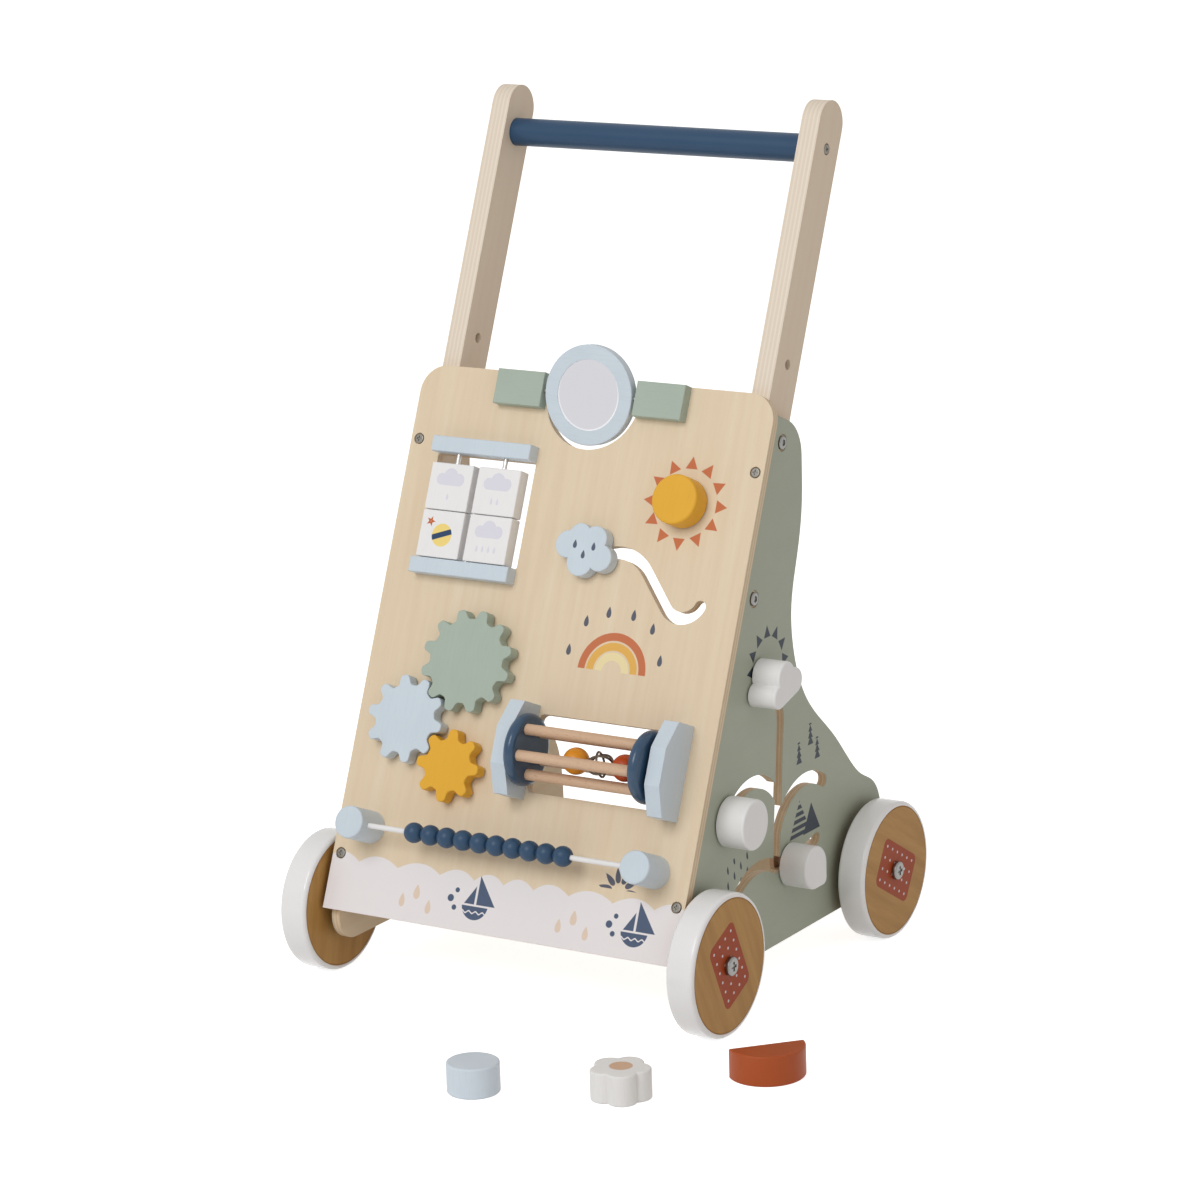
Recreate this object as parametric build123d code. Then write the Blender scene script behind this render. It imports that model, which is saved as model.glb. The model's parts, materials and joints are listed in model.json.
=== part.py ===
from build123d import *
import math
import os

# Wooden activity walker. Millimetres, X across the walker, Y to the rear, Z up.
# The front panel leans back over two side panels. Its own frame runs across, up its slope
# and out of its front face, from the middle of its bottom edge.

full_turn = 360.0
half_turn = full_turn / 2

# Clearances and fits
glue_gap = 0.02
pivot_gap = 0.08
slide_gap = 0.3
face_gap = 0.5

# Front panel
panel_width = 260.0
panel_length = 355.0
panel_thickness = 6.5
panel_lean = 23.0
panel_foot_height = 49.0
panel_corner_radius = 18.0
panel_edge_round = 0.8

# Side panels
side_thickness = 6.0
side_inset = 3.0
side_floor_gap = 24.5
side_top_setback = 10.7
side_toe_radius = 17.0
side_heel_radius = 13.0
side_shoulder_radius = 27.0
side_shoulder_back = 32.188
side_shoulder_drop = 46.69
side_waist = (156.1, 234.5)
side_flare = (172.8, 176.3)
side_hip = (209.9, 140.7)
side_haunch = (242.0, 108.2)
side_heel = (273.1, 46.0)

# Rail that ties the side panels together behind the drum, low between the rear wheels
rail_front = 222.0
rail_foot = 28.0
rail_width = 33.0
rail_thickness = 12.0
rail_screw_edge = 8.0

# Uprights and handlebar
upright_width = 30.0
upright_thickness = 13.0
upright_top = 547.0
upright_foot = 205.0
bar_height = 516.0
bar_diameter = 18.0
bar_socket = 4.0
spare_hole_height = 378.5
spare_hole_diameter = 6.5

# Wheels and their bolts
wheel_diameter = 90.0
wheel_width = 19.0
wheel_rim_round = 3.0
wheel_side_gap = 6.0
hub_boss_diameter = 22.0
wheel_bolt_diameter = 6.0
wheel_bolt_head = 12.0
wheel_bolt_head_height = 2.6
wheel_bolt_end = 1.0
wheel_nut_width = 10.0
wheel_nut_height = 5.0
front_axle = 28.5
rear_axle = 243.5

# Wood screws and upright bolts
screw_diameter = 3.5
screw_head = 6.4
screw_head_height = 1.6
screw_length = 24.0
screw_seat_diameter = 7.4
screw_seat_depth = 1.4
screw_foot_height = 36.0
screw_top_distance = 49.0
upright_bolt_diameter = 5.0
upright_bolt_head = 8.6
upright_bolt_head_height = 2.2
upright_bolt_length = 16.0
upright_bolt_rise = 26.1
upright_bolt_drop = 25.4
bolt_seat_diameter = 11.0
bolt_seat_depth = 1.2
driver_slot_width = 0.9
driver_slot_depth = 0.8
driver_slot_length = 3.4
bolt_slot_width = 1.8
bolt_slot_length = 6.0
bolt_hexagon = 4.4

# Flip mirror
mirror_diameter = 63.5
mirror_thickness = 7.0
mirror_axis_out = 4.0
mirror_tilt = 14.6
mirror_notch_gap = 2.4
glass_diameter = 44.8
glass_thickness = 2.0
mirror_block_length = 35.0
mirror_block_width = 22.5
mirror_block_thickness = 8.0
mirror_block_gap = 2.25
pivot_pin_diameter = 3.0
pivot_pin_length = 14.0
pivot_pin_grip = 7.0

# Window of turning blocks
window_center_x = -70.2
window_width = 74.0
window_drop = 125.8
window_height = 68.6
window_bar_width = 10.0
window_bar_thickness = 10.0
window_block_width = 31.5
window_block_height = 30.2
window_block_thickness = 10.0
window_column_pitch = 35.5
window_rod_diameter = 3.0
window_rod_grip = 5.0
window_corner_radius = 2.0

# Headed pegs that hold knobs and gears from behind a panel
peg_diameter = 7.0
peg_head_diameter = 16.0
peg_head_thickness = 3.0
peg_grip = 6.0
knob_gap = 1.0

# Sun knob
sun_x = 79.2
sun_drop = 72.7
sun_diameter = 31.6
sun_thickness = 14.0

# Cloud slider and its slot: an arc over, a straight run and an arc under
cloud_offset = (-3.6, 4.4)
cloud_lobes = ((-12.0, 2.6, 8.8), (-4.2, 8.6, 8.0), (6.8, 7.2, 8.6), (12.4, -4.0, 8.6), (-1.2, -7.4, 9.4))
cloud_thickness = 8.5
slot_width = 7.9
slot_crest_x = 39.7
slot_crest_drop = 135.2
slot_crest_radius = 27.6
slot_dip_x = 89.7
slot_dip_drop = 129.6
slot_dip_radius = 14.2
slot_start_angle = 129.9
slot_end_angle = -23.8

# Gears
gear_module = 5.0
gear_pressure_angle = 25.0
gear_tip_height = 3.1
gear_root_depth = 3.3
gear_center_extra = 0.6
gear_backlash = 0.5
gear_tip_round = 1.3
gear_root_round = 1.2
gear_thickness = 9.0
green_teeth = 12
blue_teeth = 10
yellow_teeth = 8
green_gear_x = -51.5
green_gear_drop = 188.1
green_phase = 17.8
blue_direction = 227.8
yellow_direction = -34.0

# Rolling drum with its two brackets
drum_height = 116.6
drum_axis_out = 17.0
drum_left = 3.0
drum_span = 100.5
bracket_thickness = 10.5
bracket_width = 59.4
bracket_reach = 29.6
bracket_chamfer_length = 18.0
bracket_chamfer_depth = 10.0
disc_diameter = 45.6
disc_thickness = 7.5
disc_edge_round = 3.4
disc_side_gap = 2.0
drum_opening_margin = 0.6
dowel_count = 5
dowel_diameter = 7.0
dowel_circle = 30.0
dowel_grip = 4.0
dowel_phase = 38.0
drum_opening_height = 49.4
drum_opening_radius = 4.0
ball_diameter = 17.0
ball_first_x = 45.2
ball_pitch = 17.6
bell_wire = 1.5
bell_turn = (35.0, 0.0, 20.0)

# Abacus
abacus_height = 55.0
post_spacing = 210.0
post_diameter = 20.8
post_length = 26.5
post_edge_round = 1.2
abacus_rod_diameter = 3.4
abacus_rod_out = 18.0
abacus_rod_grip = 6.0
bead_count = 10
bead_diameter = 13.0
bead_width = 12.0
bead_pitch = 12.2
bead_first_x = -60.5
bead_bore_gap = 0.3

# Maze of slots in the right side panel, in its own Y and Z
maze_slot_width = 8.6
trunk_foot = (131.5, 77.1)
trunk_top = (139.6, 167.3)
hook_radius = 24.0
hook_end_angle = 95.0
left_arch_center = (103.3, 98.8)
left_arch_radius = 38.3
left_arch_angles = (36.0, 143.8)
right_arch_center = (171.1, 82.0)
right_arch_radius = 40.4
right_arch_angles = (56.4, 156.0)
low_left_center = (109.9, 37.5)
low_left_radius = 43.6
low_left_angles = (60.0, 130.0)
low_right_center = (152.2, 182.0)
low_right_radius = 107.0
low_right_angles = (-101.2, -73.1)
low_right_start_angle = -92.6
round_knob_diameter = 31.8
maze_knob_length = 19.0
maze_knob_round = 1.6
crown_lobes = ((-7.6, 0.4, 7.4), (1.0, 11.0, 10.4), (12.2, 6.8, 8.2))
leaf_radius = 13.8
leaf_offset = (0.0, -2.2)
leaf_corner_radius = 4.5

# Loose blocks that stand on the floor and post through the left side panel
block_height = 19.0
post_hole_gap = 1.0
round_block_diameter = 32.0
flower_petals = 5
flower_petal_radius = 9.2
flower_reach = 9.6
moon_radius = 23.5
block_edge_round = 1.2
round_hole_center = (80.0, 125.0)
flower_hole_center = (132.0, 92.0)
moon_hole_center = (178.0, 122.0)
round_block_place = (64.6, -124.0)
flower_block_place = (147.0, -92.0)
moon_block_place = (204.0, -19.0)
moon_block_turn = 48.0

side_outer = panel_width / 2 - side_inset
side_inner = side_outer - side_thickness
upright_inner = side_inner - upright_thickness
wheel_inner = side_outer + wheel_side_gap
axle_height = wheel_diameter / 2
window_foot = panel_length - window_drop
sun_center = (sun_x, panel_length - sun_drop)
slot_crest_center = (slot_crest_x, panel_length - slot_crest_drop)
slot_dip_center = (slot_dip_x, panel_length - slot_dip_drop)
green_center = (green_gear_x, panel_length - green_gear_drop)
screw_heights = (screw_foot_height, panel_length - screw_top_distance)
upright_bolt_heights = (upright_foot + upright_bolt_rise, panel_length - upright_bolt_drop)
lean = math.radians(panel_lean)
panel_up = Vector(0, math.sin(lean), math.cos(lean))
panel_out = Vector(0, -math.cos(lean), math.sin(lean))
panel_foot = Vector(0, 0, panel_foot_height)
panel_plane = Plane(origin=panel_foot, x_dir=(1, 0, 0), z_dir=panel_out)
side_plane = Plane(origin=(0, 0, 0), x_dir=(0, 1, 0), z_dir=(1, 0, 0))
bottom_up = (Align.CENTER, Align.CENTER, Align.MIN)
parts = {}


def on_panel(shape):
    """Move a shape from the panel's own frame into the walker's frame."""
    return panel_plane.location * shape


def panel_point(x, up, out):
    """The point at x, a distance up the slope and a distance out of the front face."""
    return panel_foot + Vector(x, 0, 0) + panel_up * up + panel_out * out


def polar(center, radius, angle):
    """The point of a circle at an angle in degrees."""
    turn = math.radians(angle)
    return (center[0] + radius * math.cos(turn), center[1] + radius * math.sin(turn))


def stud(x, y, low, high, diameter):
    """A round bar along Z between two levels."""
    return Pos(x, y, low) * Cylinder(diameter / 2, high - low, align=bottom_up)


def cross_bar(y, z, start, end, diameter):
    """A round bar along X between two X values."""
    bar = Cylinder(diameter / 2, end - start, align=bottom_up)
    return Pos(start, y, z) * Rot(0, 90, 0) * bar


def side_slab(face, start, end):
    """A face drawn in Y and Z, made solid along X between two X values."""
    return Pos(start, 0, 0) * extrude(side_plane.location * face, end - start, dir=(1, 0, 0))


def arc_slot(center, radius, angles, width):
    """A slot with round ends along an arc between two angles."""
    arc = CenterArc((center[0], center[1], 0), radius, angles[0], angles[1] - angles[0])
    return SlotArc(arc, width)


def headed_peg(low, length):
    """A peg along Z with its head below, standing on a level."""
    head = stud(0, 0, low, low + peg_head_thickness, peg_head_diameter)
    shank = stud(0, 0, low, low + peg_head_thickness + length, peg_diameter)
    return head + shank


def lobed_outline(lobes):
    """An outline of round lobes, each with its centre and radius, filled in between them."""
    outline = make_face(Polyline([lobe[:2] for lobe in lobes], close=True))
    for lobe_x, lobe_y, lobe_radius in lobes:
        outline += Pos(lobe_x, lobe_y) * Circle(lobe_radius)
    return outline


def top_edges(solid):
    """The edges of a solid's highest flat face."""
    return solid.faces().sort_by(Axis.Z)[-1].edges()


# Front panel: plywood with a notch, a window, a curved slot, a drum opening and bored holes
mirror_height = panel_length - mirror_block_width / 2
notch_radius = mirror_diameter / 2 + mirror_notch_gap
cross_angle = math.degrees(math.atan2(slot_dip_center[1] - slot_crest_center[1],
                                      slot_dip_center[0] - slot_crest_center[0]))
crest_to_dip = math.dist(slot_crest_center, slot_dip_center)
swing_angle = math.degrees(math.acos((slot_crest_radius + slot_dip_radius) / crest_to_dip))
slot_leave_angle = cross_angle + swing_angle
slot_crest = CenterArc((*slot_crest_center, 0), slot_crest_radius, slot_start_angle,
                       slot_leave_angle - slot_start_angle)
slot_dip = CenterArc((*slot_dip_center, 0), slot_dip_radius, slot_leave_angle - half_turn,
                     slot_end_angle - slot_leave_angle + half_turn)
slot_run = Line(slot_crest @ 1, slot_dip @ 0)
cloud_slot = SlotArc(Wire([slot_crest.edge(), slot_run.edge(), slot_dip.edge()]), slot_width)
cloud_start = polar(slot_crest_center, slot_crest_radius, slot_start_angle)
blue_center = polar(green_center, gear_module * (green_teeth + blue_teeth) / 2 + gear_center_extra,
                    blue_direction)
yellow_center = polar(blue_center, gear_module * (blue_teeth + yellow_teeth) / 2 + gear_center_extra,
                      yellow_direction)
drum_right = drum_left + drum_span
drum_middle = drum_left + drum_span / 2
window_middle = window_foot + window_height / 2

panel_blank = Pos(0, panel_length / 2) * Rectangle(panel_width, panel_length)
panel_blank = fillet(panel_blank.vertices().sort_by(Axis.Y)[-2:], panel_corner_radius)
panel_blank -= Pos(0, mirror_height) * Circle(notch_radius)
window_hole = RectangleRounded(window_width, window_height, window_corner_radius)
panel_blank -= Pos(window_center_x, window_middle) * window_hole
panel_blank -= cloud_slot
drum_hole_width = drum_span - 2 * drum_opening_margin
drum_hole = RectangleRounded(drum_hole_width, drum_opening_height, drum_opening_radius)
panel_blank -= Pos(drum_middle, drum_height) * drum_hole
for peg_center in (sun_center, green_center, blue_center, yellow_center):
    panel_blank -= Pos(*peg_center) * Circle(peg_diameter / 2 + pivot_gap)
front_panel = extrude(panel_blank, -panel_thickness)
screw_x = side_outer - side_thickness / 2
screw_places = [(x, up) for x in (-screw_x, screw_x) for up in screw_heights]
screw_bore_diameter = screw_diameter + 2 * glue_gap
for x, up in screw_places:
    front_panel -= stud(x, up, -panel_thickness, 0, screw_bore_diameter)
    front_panel -= stud(x, up, -screw_seat_depth, 0, screw_seat_diameter)
parts["front_panel"] = on_panel(front_panel)

# Wood screws in counterbored seats: four hold the front panel, two the handlebar and four the rail
def driver_cross(top, length, width):
    """The cross slot of a driver, cut down from the top of a head."""
    one_way = Box(length, width, 2 * driver_slot_depth)
    other_way = Box(width, length, 2 * driver_slot_depth)
    return Pos(0, 0, top) * (one_way + other_way)


screw = stud(0, 0, -screw_length, 0, screw_diameter) + stud(0, 0, 0, screw_head_height, screw_head)
screw = fillet(top_edges(screw), screw_head_height / 2)
screw -= driver_cross(screw_head_height, driver_slot_length, driver_slot_width)
bar_middle_out = -panel_thickness - upright_width / 2
bar_middle = panel_point(0, bar_height, bar_middle_out)
rail_middle_y = rail_front + rail_thickness / 2
rail_screw_places = [(rail_middle_y, rail_foot + rail_screw_edge),
                     (rail_middle_y, rail_foot + rail_width - rail_screw_edge)]
screws = [on_panel(Pos(x, up, -screw_seat_depth) * screw) for x, up in screw_places]
cross_screws = [(side_inner, bar_middle.Y, bar_middle.Z)]
cross_screws += [(side_outer, y, z) for y, z in rail_screw_places]
for face_x, y, z in cross_screws:
    screw_from = face_x - screw_seat_depth
    screws.append(Pos(screw_from, y, z) * Rot(0, 90, 0) * screw)
    screws.append(Pos(-screw_from, y, z) * Rot(0, -90, 0) * screw)
parts["wood_screws"] = Compound(screws)

# Side panels: the front edge follows the front panel's back, the rear edge flares to the floor
top_distance = panel_length - side_top_setback
side_front_top = panel_point(0, top_distance, -panel_thickness)
toe_run = (side_front_top.Z - side_floor_gap) * math.tan(lean)
side_toe = (side_front_top.Y - toe_run, side_floor_gap)
side_shoulder = (side_front_top.Y + side_shoulder_back, side_front_top.Z - side_shoulder_drop)
shoulder_run = side_shoulder_back * math.tan(lean)
side_corner = (side_shoulder[0], side_front_top.Z - shoulder_run)
side_heel_foot = (side_heel[0], side_floor_gap)
front_edge = Line(side_toe, (side_front_top.Y, side_front_top.Z))
top_edge = Line(front_edge @ 1, side_corner)
shoulder_edge = Line(top_edge @ 1, side_shoulder)
rear_edge = Spline([side_shoulder, side_waist, side_flare, side_hip, side_haunch, side_heel],
                   tangents=[(0, -1), (0, -1)])
heel_edge = Line(rear_edge @ 1, side_heel_foot)
floor_edge = Line(heel_edge @ 1, side_toe)
side_face = make_face([front_edge, top_edge, shoulder_edge, rear_edge, heel_edge, floor_edge])


def corner_at(face, place):
    """The corner of a face nearest to a place."""
    return face.vertices().sort_by_distance(Vector(place[0], place[1], 0))[0]


side_face = fillet(corner_at(side_face, side_toe), side_toe_radius)
side_face = fillet(corner_at(side_face, side_corner), side_shoulder_radius)
side_face = fillet(corner_at(side_face, side_heel_foot), side_heel_radius)
axle_places = [(front_axle, axle_height), (rear_axle, axle_height)]
upright_bolt_places = [panel_point(0, up, bar_middle_out) for up in upright_bolt_heights]
for y, z in axle_places:
    side_face -= Pos(y, z) * Circle(wheel_bolt_diameter / 2 + glue_gap)
for y, z in rail_screw_places:
    side_face -= Pos(y, z) * Circle(screw_bore_diameter / 2)
for place in upright_bolt_places:
    side_face -= Pos(place.Y, place.Z) * Circle(upright_bolt_diameter / 2 + glue_gap)

# Maze slots: a leaning trunk with a hook at its top and two branches on each side
trunk_run = (trunk_top[0] - trunk_foot[0], trunk_top[1] - trunk_foot[1])
trunk_angle = math.degrees(math.atan2(trunk_run[1], trunk_run[0]))
hook_center = polar(trunk_top, hook_radius, trunk_angle + 90)
hook_angles = (trunk_angle - 90, hook_end_angle)
trunk_line = Line(trunk_foot, trunk_top)
hook_arc = CenterArc((*hook_center, 0), hook_radius, hook_angles[0], hook_angles[1] - hook_angles[0])
maze_face = SlotArc(Wire([trunk_line.edge(), hook_arc.edge()]), maze_slot_width)
maze_face += arc_slot(left_arch_center, left_arch_radius, left_arch_angles, maze_slot_width)
maze_face += arc_slot(right_arch_center, right_arch_radius, right_arch_angles, maze_slot_width)
maze_face += arc_slot(low_left_center, low_left_radius, low_left_angles, maze_slot_width)
maze_face += arc_slot(low_right_center, low_right_radius, low_right_angles, maze_slot_width)
side_cuts = []
for x, up in screw_places:
    pilot = stud(x, up, -screw_seat_depth - screw_length, -panel_thickness, screw_bore_diameter)
    side_cuts.append(on_panel(pilot))
for y, z in rail_screw_places:
    side_cuts.append(cross_bar(y, z, side_outer - screw_seat_depth, side_outer, screw_seat_diameter))
    side_cuts.append(cross_bar(y, z, -side_outer, -side_outer + screw_seat_depth, screw_seat_diameter))
for place in upright_bolt_places:
    side_cuts.append(cross_bar(place.Y, place.Z, side_outer - bolt_seat_depth, side_outer,
                               bolt_seat_diameter))
    side_cuts.append(cross_bar(place.Y, place.Z, -side_outer, -side_outer + bolt_seat_depth,
                               bolt_seat_diameter))
right_side = side_slab(side_face - maze_face, side_inner, side_outer)
for cut in side_cuts:
    right_side -= cut
parts["right_side_panel"] = right_side

# Loose posting blocks, and the holes of the same outlines in the left side panel
def flower_outline(grow):
    """A flower of round petals about a round middle, grown all round by a distance."""
    petal_turn = full_turn / flower_petals
    outline = Circle(flower_reach)
    for number in range(flower_petals):
        middle = polar((0, 0), flower_reach, 90 + number * petal_turn)
        outline += Pos(*middle) * Circle(flower_petal_radius + grow)
    return outline


def moon_outline(grow):
    """A half disc with its flat side below, grown all round by a distance."""
    outline = Circle(moon_radius + grow)
    lower_size = 2 * (moon_radius + grow)
    lower = Rectangle(lower_size, lower_size, align=(Align.CENTER, Align.MAX))
    return outline - Pos(0, -grow) * lower


post_face = Pos(*round_hole_center) * Circle(round_block_diameter / 2 + post_hole_gap)
post_face += Pos(*flower_hole_center) * flower_outline(post_hole_gap)
post_face += Pos(*moon_hole_center) * moon_outline(post_hole_gap)
left_side = side_slab(side_face - post_face, -side_outer, -side_inner)
for cut in side_cuts:
    left_side -= cut
parts["left_side_panel"] = left_side

# Rear rail: a board between the side panels, held by two screws at each end
rail = Box(2 * side_inner, rail_thickness, rail_width, align=(Align.CENTER, Align.MIN, Align.MIN))
rail = fillet(rail.edges().filter_by(Axis.X), panel_edge_round)
rail = Pos(0, rail_front, rail_foot) * rail
screw_grip = screw_length + screw_seat_depth - side_thickness
for y, z in rail_screw_places:
    rail -= cross_bar(y, z, side_inner - screw_grip, side_inner, screw_bore_diameter)
    rail -= cross_bar(y, z, -side_inner, -side_inner + screw_grip, screw_bore_diameter)
parts["rear_rail"] = rail


def floor_block(outline, place, turn):
    """A block of the common height standing on the floor, its top and bottom edges eased."""
    block = extrude(outline, block_height)
    flat_edges = block.faces().sort_by(Axis.Z)[-1].edges() + block.faces().sort_by(Axis.Z)[0].edges()
    block = fillet(flat_edges, block_edge_round)
    return Pos(place[0], place[1], 0) * Rot(0, 0, turn) * block


parts["round_block"] = floor_block(Circle(round_block_diameter / 2), round_block_place, 0)
parts["flower_block"] = floor_block(flower_outline(0), flower_block_place, 0)
parts["half_moon_block"] = floor_block(moon_outline(0), moon_block_place, moon_block_turn + half_turn)

# Uprights: plywood strips with round tops, inside the side panels and behind the front panel
upright_blank_length = upright_top - upright_foot
upright_strip = SlotOverall(upright_blank_length + upright_width, upright_width, rotation=90)
strip_cut = Rectangle(2 * upright_width, upright_width, align=(Align.CENTER, Align.MAX))
foot_offset = -(upright_blank_length + upright_width) / 2 + upright_width
upright_strip -= Pos(0, foot_offset) * strip_cut


def upright(inner, outer, socket_from, socket_to, bolt_from, bolt_to):
    """One upright between two X values, with its bar socket, bolt bores and spare hole."""
    strip_middle = upright_top - (upright_blank_length + upright_width) / 2
    strip_origin = panel_point(inner, strip_middle, bar_middle_out)
    across = Plane(origin=strip_origin, x_dir=panel_out, z_dir=(-1, 0, 0))
    strip = extrude(across.location * upright_strip, outer - inner, dir=(1, 0, 0))
    socket_diameter = bar_diameter + 2 * glue_gap
    strip -= cross_bar(bar_middle.Y, bar_middle.Z, socket_from, socket_to, socket_diameter)
    strip -= cross_bar(bar_middle.Y, bar_middle.Z, inner, outer, screw_bore_diameter)
    spare = panel_point(0, spare_hole_height, bar_middle_out)
    strip -= cross_bar(spare.Y, spare.Z, inner, outer, spare_hole_diameter)
    for place in upright_bolt_places:
        strip -= cross_bar(place.Y, place.Z, bolt_from, bolt_to, upright_bolt_diameter + 2 * glue_gap)
    return strip


bolt_tip = side_outer - bolt_seat_depth - upright_bolt_length
bar_reach = upright_inner + bar_socket
right_upright = upright(upright_inner, side_inner, upright_inner, bar_reach, bolt_tip, side_inner)
left_upright = upright(-side_inner, -upright_inner, -bar_reach, -upright_inner, -side_inner, -bolt_tip)
seat_from = side_inner - screw_seat_depth
right_upright -= cross_bar(bar_middle.Y, bar_middle.Z, seat_from, side_inner, screw_seat_diameter)
left_upright -= cross_bar(bar_middle.Y, bar_middle.Z, -side_inner, -seat_from, screw_seat_diameter)
parts["right_upright"] = right_upright
parts["left_upright"] = left_upright
handlebar = cross_bar(bar_middle.Y, bar_middle.Z, -bar_reach, bar_reach, bar_diameter)
for start in (-seat_from, seat_from - screw_length):
    bore = cross_bar(bar_middle.Y, bar_middle.Z, start, start + screw_length, screw_bore_diameter)
    handlebar -= bore
parts["handlebar"] = handlebar

# Bolts that clamp the uprights to the side panels, with a hexagon socket in each round head
bolt_head = stud(0, 0, 0, upright_bolt_head_height, upright_bolt_head)
upright_bolt = stud(0, 0, -upright_bolt_length, 0, upright_bolt_diameter) + bolt_head
upright_bolt = fillet(top_edges(upright_bolt), upright_bolt_head_height / 2)
hex_socket = extrude(RegularPolygon(bolt_hexagon / 2, 6), driver_slot_depth, both=True)
upright_bolt -= Pos(0, 0, upright_bolt_head_height) * hex_socket
bolt_seat = side_outer - bolt_seat_depth
frame_bolts = []
for place in upright_bolt_places:
    frame_bolts.append(Pos(bolt_seat, place.Y, place.Z) * Rot(0, 90, 0) * upright_bolt)
    frame_bolts.append(Pos(-bolt_seat, place.Y, place.Z) * Rot(0, -90, 0) * upright_bolt)

# Wheels: turned discs with a boss towards the side panel, each free on its own bolt with a nut inside
wheel_disc = stud(0, 0, 0, wheel_width, wheel_diameter)
wheel_rims = wheel_disc.edges().filter_by(GeomType.CIRCLE)
wheel_disc = fillet(wheel_rims, wheel_rim_round)
wheel_disc += stud(0, 0, -wheel_side_gap + face_gap, 0, hub_boss_diameter)
wheel_bore = wheel_bolt_diameter + 2 * pivot_gap
wheel_disc -= stud(0, 0, -wheel_side_gap, wheel_width, wheel_bore)
nut_top = -wheel_width - wheel_side_gap - side_thickness
nut_foot = nut_top - wheel_nut_height
wheel_bolt = stud(0, 0, nut_foot - wheel_bolt_end, face_gap, wheel_bolt_diameter)
wheel_bolt_top = face_gap + wheel_bolt_head_height
wheel_bolt += stud(0, 0, face_gap, wheel_bolt_top, wheel_bolt_head)
wheel_bolt = fillet(top_edges(wheel_bolt), wheel_bolt_head_height / 2)
wheel_bolt -= driver_cross(wheel_bolt_top, bolt_slot_length, bolt_slot_width)
wheel_nut = extrude(RegularPolygon(wheel_nut_width / 2, 6, major_radius=False), wheel_nut_height)
wheel_nut = Pos(0, 0, nut_foot) * wheel_nut
wheel_nut -= stud(0, 0, nut_foot, nut_top, wheel_bolt_diameter + 2 * glue_gap)
for end_name, axle in (("front", front_axle), ("rear", rear_axle)):
    right_wheel = Pos(wheel_inner, axle, axle_height) * Rot(0, 90, 0)
    left_wheel = Pos(-wheel_inner, axle, axle_height) * Rot(0, -90, 0)
    parts[end_name + "_right_wheel"] = right_wheel * wheel_disc
    parts[end_name + "_left_wheel"] = left_wheel * wheel_disc
    for wheel_place in (right_wheel, left_wheel):
        frame_bolts.append(wheel_place * Pos(0, 0, wheel_width) * wheel_bolt)
        frame_bolts.append(wheel_place * Pos(0, 0, wheel_width) * wheel_nut)
parts["frame_bolts"] = Compound(frame_bolts)

# Flip mirror: a ring on two pins between two blocks, with a round glass let into its front
mirror_block_from = mirror_diameter / 2 + mirror_block_gap
mirror_block = Box(mirror_block_length, mirror_block_width, mirror_block_thickness, align=bottom_up)
mirror_block = fillet(top_edges(mirror_block), panel_edge_round)
block_middle = mirror_block_from + mirror_block_length / 2
mirror_blocks = [Pos(x, mirror_height, 0) * mirror_block for x in (-block_middle, block_middle)]
pin_bore_diameter = pivot_pin_diameter + 2 * glue_gap
mirror_pin_to = mirror_block_from + pivot_pin_grip
mirror_pin_from = mirror_pin_to - pivot_pin_length
right_mirror_bore = cross_bar(mirror_height, mirror_axis_out, mirror_block_from, mirror_pin_to,
                              pin_bore_diameter)
left_mirror_bore = cross_bar(mirror_height, mirror_axis_out, -mirror_pin_to, -mirror_block_from,
                             pin_bore_diameter)
left_mirror_block = mirror_blocks[0] - left_mirror_bore
right_mirror_block = mirror_blocks[1] - right_mirror_bore
parts["mirror_blocks"] = Compound([on_panel(left_mirror_block), on_panel(right_mirror_block)])

mirror_ring = stud(0, 0, -mirror_thickness / 2, mirror_thickness / 2, mirror_diameter)
mirror_ring = fillet(mirror_ring.edges().filter_by(GeomType.CIRCLE), panel_edge_round)
glass_seat = mirror_thickness / 2 - glass_thickness - slide_gap
mirror_ring -= stud(0, 0, glass_seat, mirror_thickness / 2, glass_diameter + 2 * glue_gap)
ring_bore_diameter = pivot_pin_diameter + 2 * pivot_gap
ring_bore_from = mirror_pin_from - face_gap
mirror_ring -= cross_bar(0, 0, ring_bore_from, mirror_diameter / 2, ring_bore_diameter)
mirror_ring -= cross_bar(0, 0, -mirror_diameter / 2, -ring_bore_from, ring_bore_diameter)
mirror_glass = stud(0, 0, glass_seat, glass_seat + glass_thickness, glass_diameter)
mirror_place = Pos(0, mirror_height, mirror_axis_out) * Rot(mirror_tilt, 0, 0)
parts["mirror_ring"] = on_panel(mirror_place * mirror_ring)
parts["mirror_glass"] = on_panel(mirror_place * mirror_glass)

# Window: two bars carry two rods, and each rod carries two turning blocks
window_top = window_foot + window_height
window_bar = Box(window_width, window_bar_width, window_bar_thickness, align=bottom_up)
window_bar = fillet(top_edges(window_bar), panel_edge_round)
window_rod_out = window_block_thickness / 2
rod_xs = [window_center_x - window_column_pitch / 2, window_center_x + window_column_pitch / 2]
low_bar = Pos(window_center_x, window_foot - window_bar_width / 2, 0) * window_bar
high_bar = Pos(window_center_x, window_top + window_bar_width / 2, 0) * window_bar
window_rods = []
for x in rod_xs:
    rod_from = window_foot - window_rod_grip
    rod_length = window_height + 2 * window_rod_grip
    rod_place = Pos(x, rod_from, window_rod_out) * Rot(-90, 0, 0)
    rod = rod_place * Cylinder(window_rod_diameter / 2, rod_length, align=bottom_up)
    rod_bore = rod_place * Cylinder(window_rod_diameter / 2 + glue_gap, rod_length, align=bottom_up)
    low_bar -= rod_bore
    high_bar -= rod_bore
    window_rods.append(on_panel(rod))
parts["window_bars"] = Compound([on_panel(low_bar), on_panel(high_bar)])
parts["window_rods"] = Compound(window_rods)
window_block = Box(window_block_width, window_block_height, window_block_thickness)
window_block = fillet(window_block.edges(), panel_edge_round)
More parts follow.
